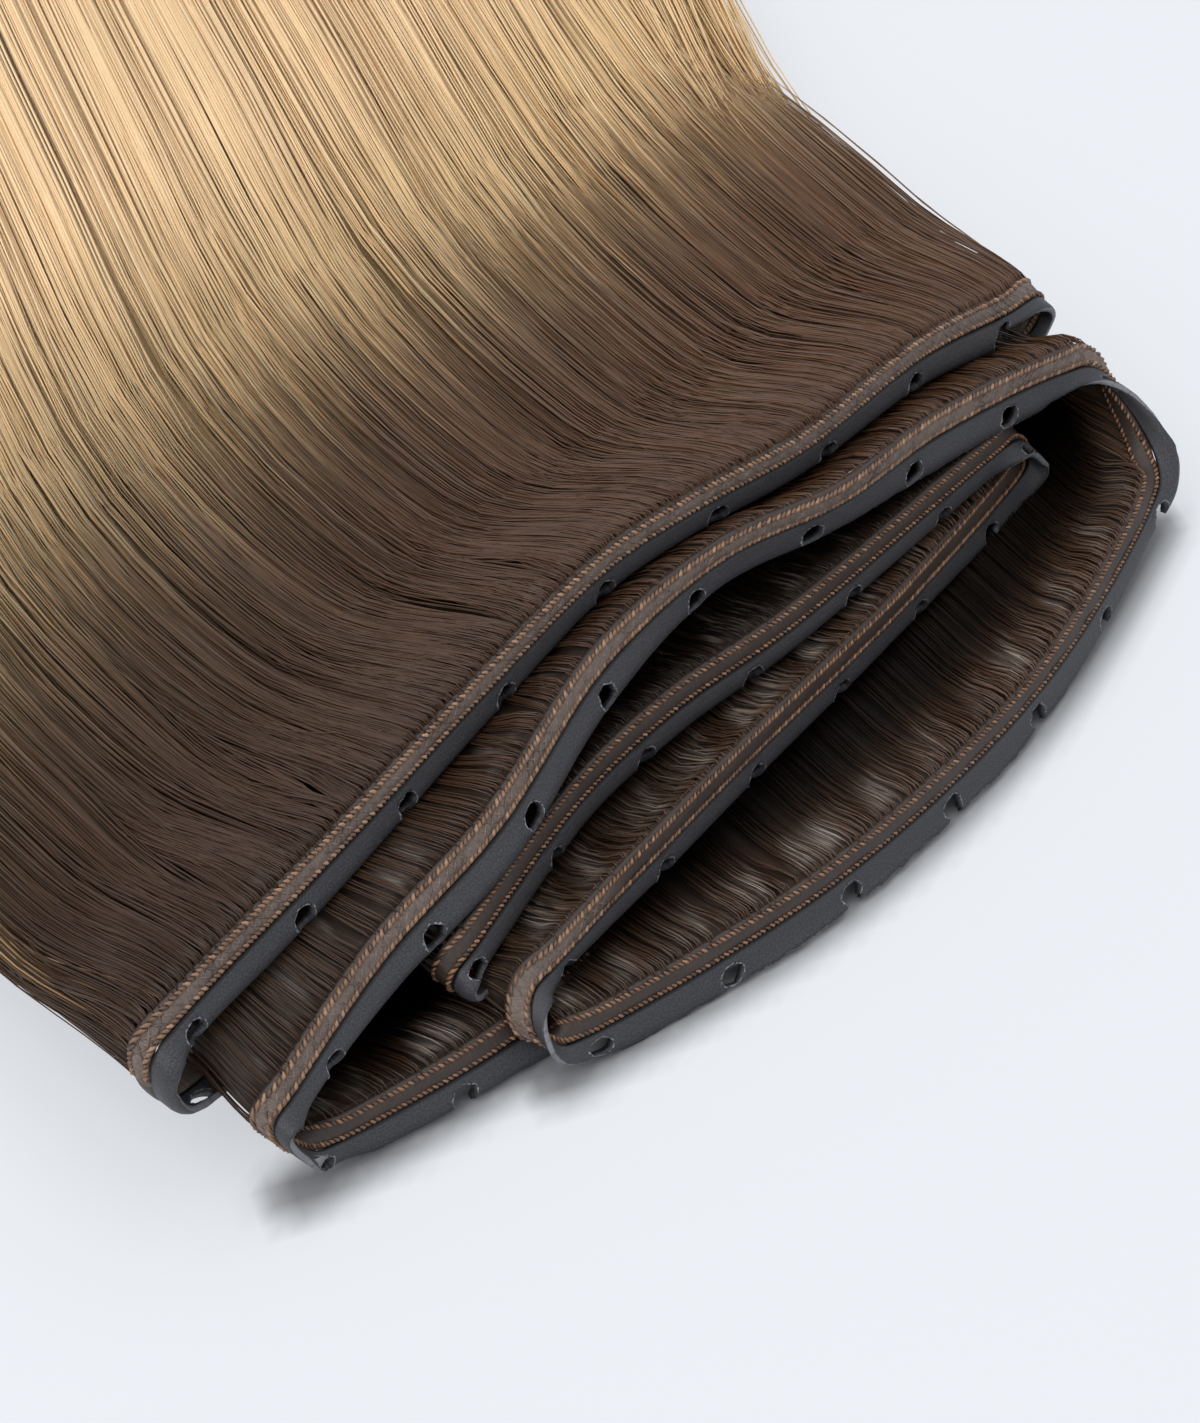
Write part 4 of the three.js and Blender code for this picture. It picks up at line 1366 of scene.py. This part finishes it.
RIGHT_SET = StrandSet(320, 0, -0.045, 0.06, 10, 0, 1)
LEFT_SET = StrandSet(130, 0, 0.99, 1.05, -2.5, 34, 1)


def gathered_share(share, along):
    """Shares across the bundle, drawn in towards the middle of their lock at the tips."""
    middle = (lock_number(share) + 0.5) / LOCKS
    width = np.interp(along + tip_shortening(share), TIP_ALONG, TIP_WIDTH)
    return middle + (share - middle) * width


def lock_value(lengths, spread, seed):
    """A chance value for the lock that each strand belongs to. Locks are a few millimetres wide."""
    edges = 0.35 * wander(lengths, 2.1 * MM, seed)
    return spread * wander(np.floor(lengths / LOCK_PITCH + edges), 1.0, seed + 1)


def long_strands(row):
    """Strands from the top run's roots to the tips. Loose ones lie a little off the others, on top. Some can
    drift out to one side by up to a distance, or be paler than the others."""
    count = row.count
    share = dice.uniform(row.first, row.last, count)
    longest = HAIR_LENGTH - tip_shortening(share)
    length = longest * (1 - 0.22 * dice.uniform(0, 1, count) ** 2.5)
    past = np.maximum(LONG_STEPS - SHARED_STEPS, 0) / (HAIR_LENGTH - SHARED_STEPS)
    near = np.minimum(LONG_STEPS, SHARED_STEPS) * dice.uniform(0.92, 1.0, count)[:, None]
    along = near + past * (length - near[:, -1])[:, None]
    lengths = top_start + (top_end - top_start) * share
    lift = LAYERS["top"].shown * dice.uniform(-0.25, 0.5, count) * MM
    whole_share = share[:, None] * np.ones_like(along)
    drawn = gathered_share(whole_share, along)
    depth = dice.uniform(0, 1, count)[:, None] ** 1.6 * STRAND_DEPTH
    depth = depth * edge_depth(lengths)[:, None] * (1 - 0.75 * smoothstep(along, 50 * MM, 130 * MM))
    depth = depth * (1 - row.loose) - row.loose * dice.uniform(0, 1.2, (count, 1)) * MM
    raised = lock_value(lengths, LOCK_LIFT, 41)[:, None] * (1 - smoothstep(along, 40 * MM, 150 * MM))
    depth = (depth - raised) * smoothstep(along, 2 * MM, 25 * MM)
    height = bundle_height(whole_share, along) * rounded_sides(drawn, along) - depth
    deep = dice.uniform(0.25, 1, count)[:, None]
    at_tips = smoothstep(along, TIP_START - 40 * MM, HAIR_LENGTH - 40 * MM)
    resting = np.maximum(height * (1 - (1 - deep) * at_tips), STRAND_LOWEST)
    settle = LAYERS["top"].settle * MM
    bend = LAYERS["top"].bend * MM * dice.uniform(0.8, 1.3, count)[:, None]
    stray = lock_value(lengths, LOCK_TURN, 43) + dice.normal(0, 1, count) * (0.03 + 0.25 * row.loose)
    stray = stray[:, None] * np.ones_like(along)
    lines = hair_lines(lengths, along, resting, settle, bend, lift, stray)
    sideways = bundle_points(drawn, along, height) - bundle_points(whole_share, along, height)
    lines += sideways + parted(lengths, along)
    wave_phase = 4 * wander(share * 14, 1.0, 32)[:, None]
    waves = wander(share * 60 + 3, 1.0, 31)[:, None] * np.sin(along / (55 * MM) + wave_phase)
    lines[..., 0] += 0.9 * MM * waves * smoothstep(along, 15 * MM, 120 * MM)
    lines[..., 0] += dice.normal(0, 0.8, (count, 1)) * MM * smoothstep(along, 4 * MM, 90 * MM)
    lines[..., 0] += row.drift * MM * dice.uniform(0, 1, (count, 1)) * smoothstep(along, 10 * MM, 110 * MM)
    radii = LONG_TAPER * STRAND_RADIUS * dice.uniform(0.7, 1.2, count)[:, None] * row.thickness
    return lines, radii, strand_uvs(along + row.paler * MM * dice.uniform(0.3, 1, (count, 1)))


for number, extra in enumerate((LOOSE_SET, RIGHT_SET, LEFT_SET)):
    sets = [long_strands(row) for row in (EVEN_SET, extra)]
    add_strands(f"hair_long_strands_{number + 1}", sets, strand_finish)

# %% [markdown]
# ## Strands down the sides
# From the left or the right the bundle shows its depth: the hair of the lower runs, one layer over another.
# These strands start inside the pile, where the lower runs feed it, and follow the rounded sides to the
# tips. Those on the right start earlier and flare out a little, because the lower runs reach further out
# there.

# %% Side strands
SIDE_STEPS = np.array([40, 60, 85, 120, 165, 215, 265, 310, 350, 385]) * MM
SIDE_TAPER = np.array([0.5, 1, 1, 1, 1, 1, 1, 0.9, 0.7, 0.2])
SIDE_COUNT = 420
RIGHT_FLARE = 8 * MM
RIGHT_EARLIER = np.array([30, 22, 10] + [0] * 7) * MM


def side_strands(count, from_left):
    """Strands on one side wall of the bundle, from the table up to its shoulder."""
    steps = SIDE_STEPS if from_left else SIDE_STEPS - RIGHT_EARLIER
    along = steps * dice.uniform(0.86, 1.0, count)[:, None]
    inset = dice.uniform(0, SIDE_ROUND, count)[:, None] * np.ones_like(along)
    share = BUNDLE_LAST - inset if from_left else BUNDLE_FIRST + inset
    drawn = gathered_share(share, along)
    up = dice.uniform(0.02, 1, count)[:, None]
    bulge = np.sqrt(1 - (1 - inset / SIDE_ROUND) ** 2)
    height = up * bundle_height(share, along) * (0.35 + 0.65 * bulge)
    lines = bundle_points(drawn, along, np.maximum(height, STRAND_LOWEST))
    lines[..., 0] += dice.normal(0, 0.5, (count, 1)) * MM
    if not from_left:
        lines[..., 0] += RIGHT_FLARE * (1 - up) * (1 - smoothstep(along, 20 * MM, 130 * MM))
    radii = SIDE_TAPER * STRAND_RADIUS * dice.uniform(0.7, 1.2, count)[:, None]
    return lines, radii, strand_uvs(along)


for name, from_left in (("left", True), ("right", False)):
    add_strands(f"hair_side_strands_{name}", [side_strands(SIDE_COUNT, from_left)], strand_finish)

# %% [markdown]
# ## Table and light
# The weft lies on a plain pale table. In the photograph the table is almost white, so it has a painted glow
# here, though it is no lamp, and the glow stops close to the weft, which paints a soft shadow there. The
# light is wide and soft: a bright room, one large lamp in front on the left, like a window, and a weaker one
# overhead.

# %% Table and light
FLOOR_SIZE = 6.0
FLOOR_FAR = FLOOR_SIZE / 2
TABLE_X = np.concatenate([[-FLOOR_FAR], np.arange(-90, 91, 2) * MM, [FLOOR_FAR]])
TABLE_Y = np.concatenate([[-FLOOR_FAR], np.arange(-250, -110, 2) * MM, [FLOOR_FAR]])
# Distances from the weft's low parts over which the glow fades in, leaving a painted shadow.
PAINTED_SHADOW_NEAR = 1 * MM
PAINTED_SHADOW_FAR = 5 * MM
LOW_TRACK = 6.5 * MM
TRACK_STRIDE = 5
# The table's painted glow, though it is no lamp.
PAINTED_TABLE_GLOW = (0.93, 0.955, 1.0)
PAINTED_GLOW_STRENGTH = 0.55
ROOM_COLOUR = (0.93, 0.96, 1.0, 1)
ROOM_STRENGTH = 0.95
LIGHT_TARGET = Vector((0.0, -0.17, 0.01))
Lamp = namedtuple("Lamp", "name x y z size watts")
LAMPS = [
    Lamp("window", -0.7, -0.4, 1.0, 1.0, 9.0),
    Lamp("ceiling", 0.1, 0.15, 1.2, 1.1, 3.8),
]

table_cut = bmesh.new()
flat_grid(table_cut, (0, 0), (1, 1), len(TABLE_X) - 1, len(TABLE_Y) - 1)
shares = np.array([v.co for v in table_cut.verts])
table_columns = np.rint(shares[:, 0] * (len(TABLE_X) - 1)).astype(int)
table_rows = np.rint(shares[:, 1] * (len(TABLE_Y) - 1)).astype(int)
table_spots = np.column_stack([TABLE_X[table_columns], TABLE_Y[table_rows]])
# Painted shadow: the table's glow is masked off close to the weft's low parts.
low_track = track_at[track_at[:, 2] < LOW_TRACK][::TRACK_STRIDE, :2]
from_weft = np.min(np.linalg.norm(table_spots[:, None] - low_track, axis=2), axis=1)
painted_glow_share = smoothstep(from_weft, PAINTED_SHADOW_NEAR, PAINTED_SHADOW_FAR)
move_corners(table_cut, [(*spot, 0) for spot in table_spots])
table_cut.verts.index_update()
pattern_map = table_cut.loops.layers.uv.new("pattern")
for face in table_cut.faces:
    for loop in face.loops:
        loop[pattern_map].uv = (painted_glow_share[loop.vert.index], 0)
table_mesh = mesh_of(table_cut, "table")

table_finish = Finish("table_with_painted_glow")
painted_glow_mask = table_finish.pattern()[0]
cloud = table_finish.noise(table_finish.object_place(), scale=3.0, detail=3.0)
table_finish.surface(
    Base_Color=table_finish.blended(paint(124, 125, 127), paint(130, 131, 133), cloud),
    Roughness=0.7,
    # Painted glow that lightens the table, stopped near the weft as a painted shadow.
    Emission_Color=table_finish.blended((0, 0, 0), PAINTED_TABLE_GLOW, painted_glow_mask),
    Emission_Strength=PAINTED_GLOW_STRENGTH,
)
table_mesh.materials.append(table_finish.material)
table = bpy.data.objects.new("table", table_mesh)
bpy.context.scene.collection.objects.link(table)

world = bpy.data.worlds.new("soft_room")
world.use_nodes = True
background = world.node_tree.nodes["Background"]
background.inputs["Color"].default_value = ROOM_COLOUR
background.inputs["Strength"].default_value = ROOM_STRENGTH
bpy.context.scene.world = world
bpy.context.scene.view_settings.view_transform = "Standard"


def hold(name, data, at, target):
    """Puts a lamp or a camera at a place and points it at a target."""
    holder = bpy.data.objects.new(name, data)
    holder.location = at
    holder.rotation_euler = (target - holder.location).to_track_quat("-Z", "Y").to_euler()
    bpy.context.scene.collection.objects.link(holder)
    return holder


for lamp in LAMPS:
    light = bpy.data.lights.new(lamp.name, "AREA")
    light.energy = lamp.watts
    light.size = lamp.size
    hold(lamp.name, light, (lamp.x, lamp.y, lamp.z), LIGHT_TARGET)
print("lamps:", ", ".join(lamp.name for lamp in LAMPS))

# %% [markdown]
# ## Camera
# The camera looks down at the folds at 45 degrees, from a little to the left, through a long lens.

# %% Camera and finish
CAMERA_AT = Vector((-88.86, -443.53, 275.8)) * MM
CAMERA_TARGET = Vector((5.44, -184.33, 0)) * MM
LENS = 100.6
SENSOR = 36.0
NEAREST = 0.01
camera_data = bpy.data.cameras.new("camera")
camera_data.lens = LENS
camera_data.sensor_width = SENSOR
camera_data.sensor_fit = "AUTO"
camera_data.clip_start = NEAREST
bpy.context.scene.camera = hold("camera", camera_data, CAMERA_AT, CAMERA_TARGET)

bpy.context.view_layer.update()
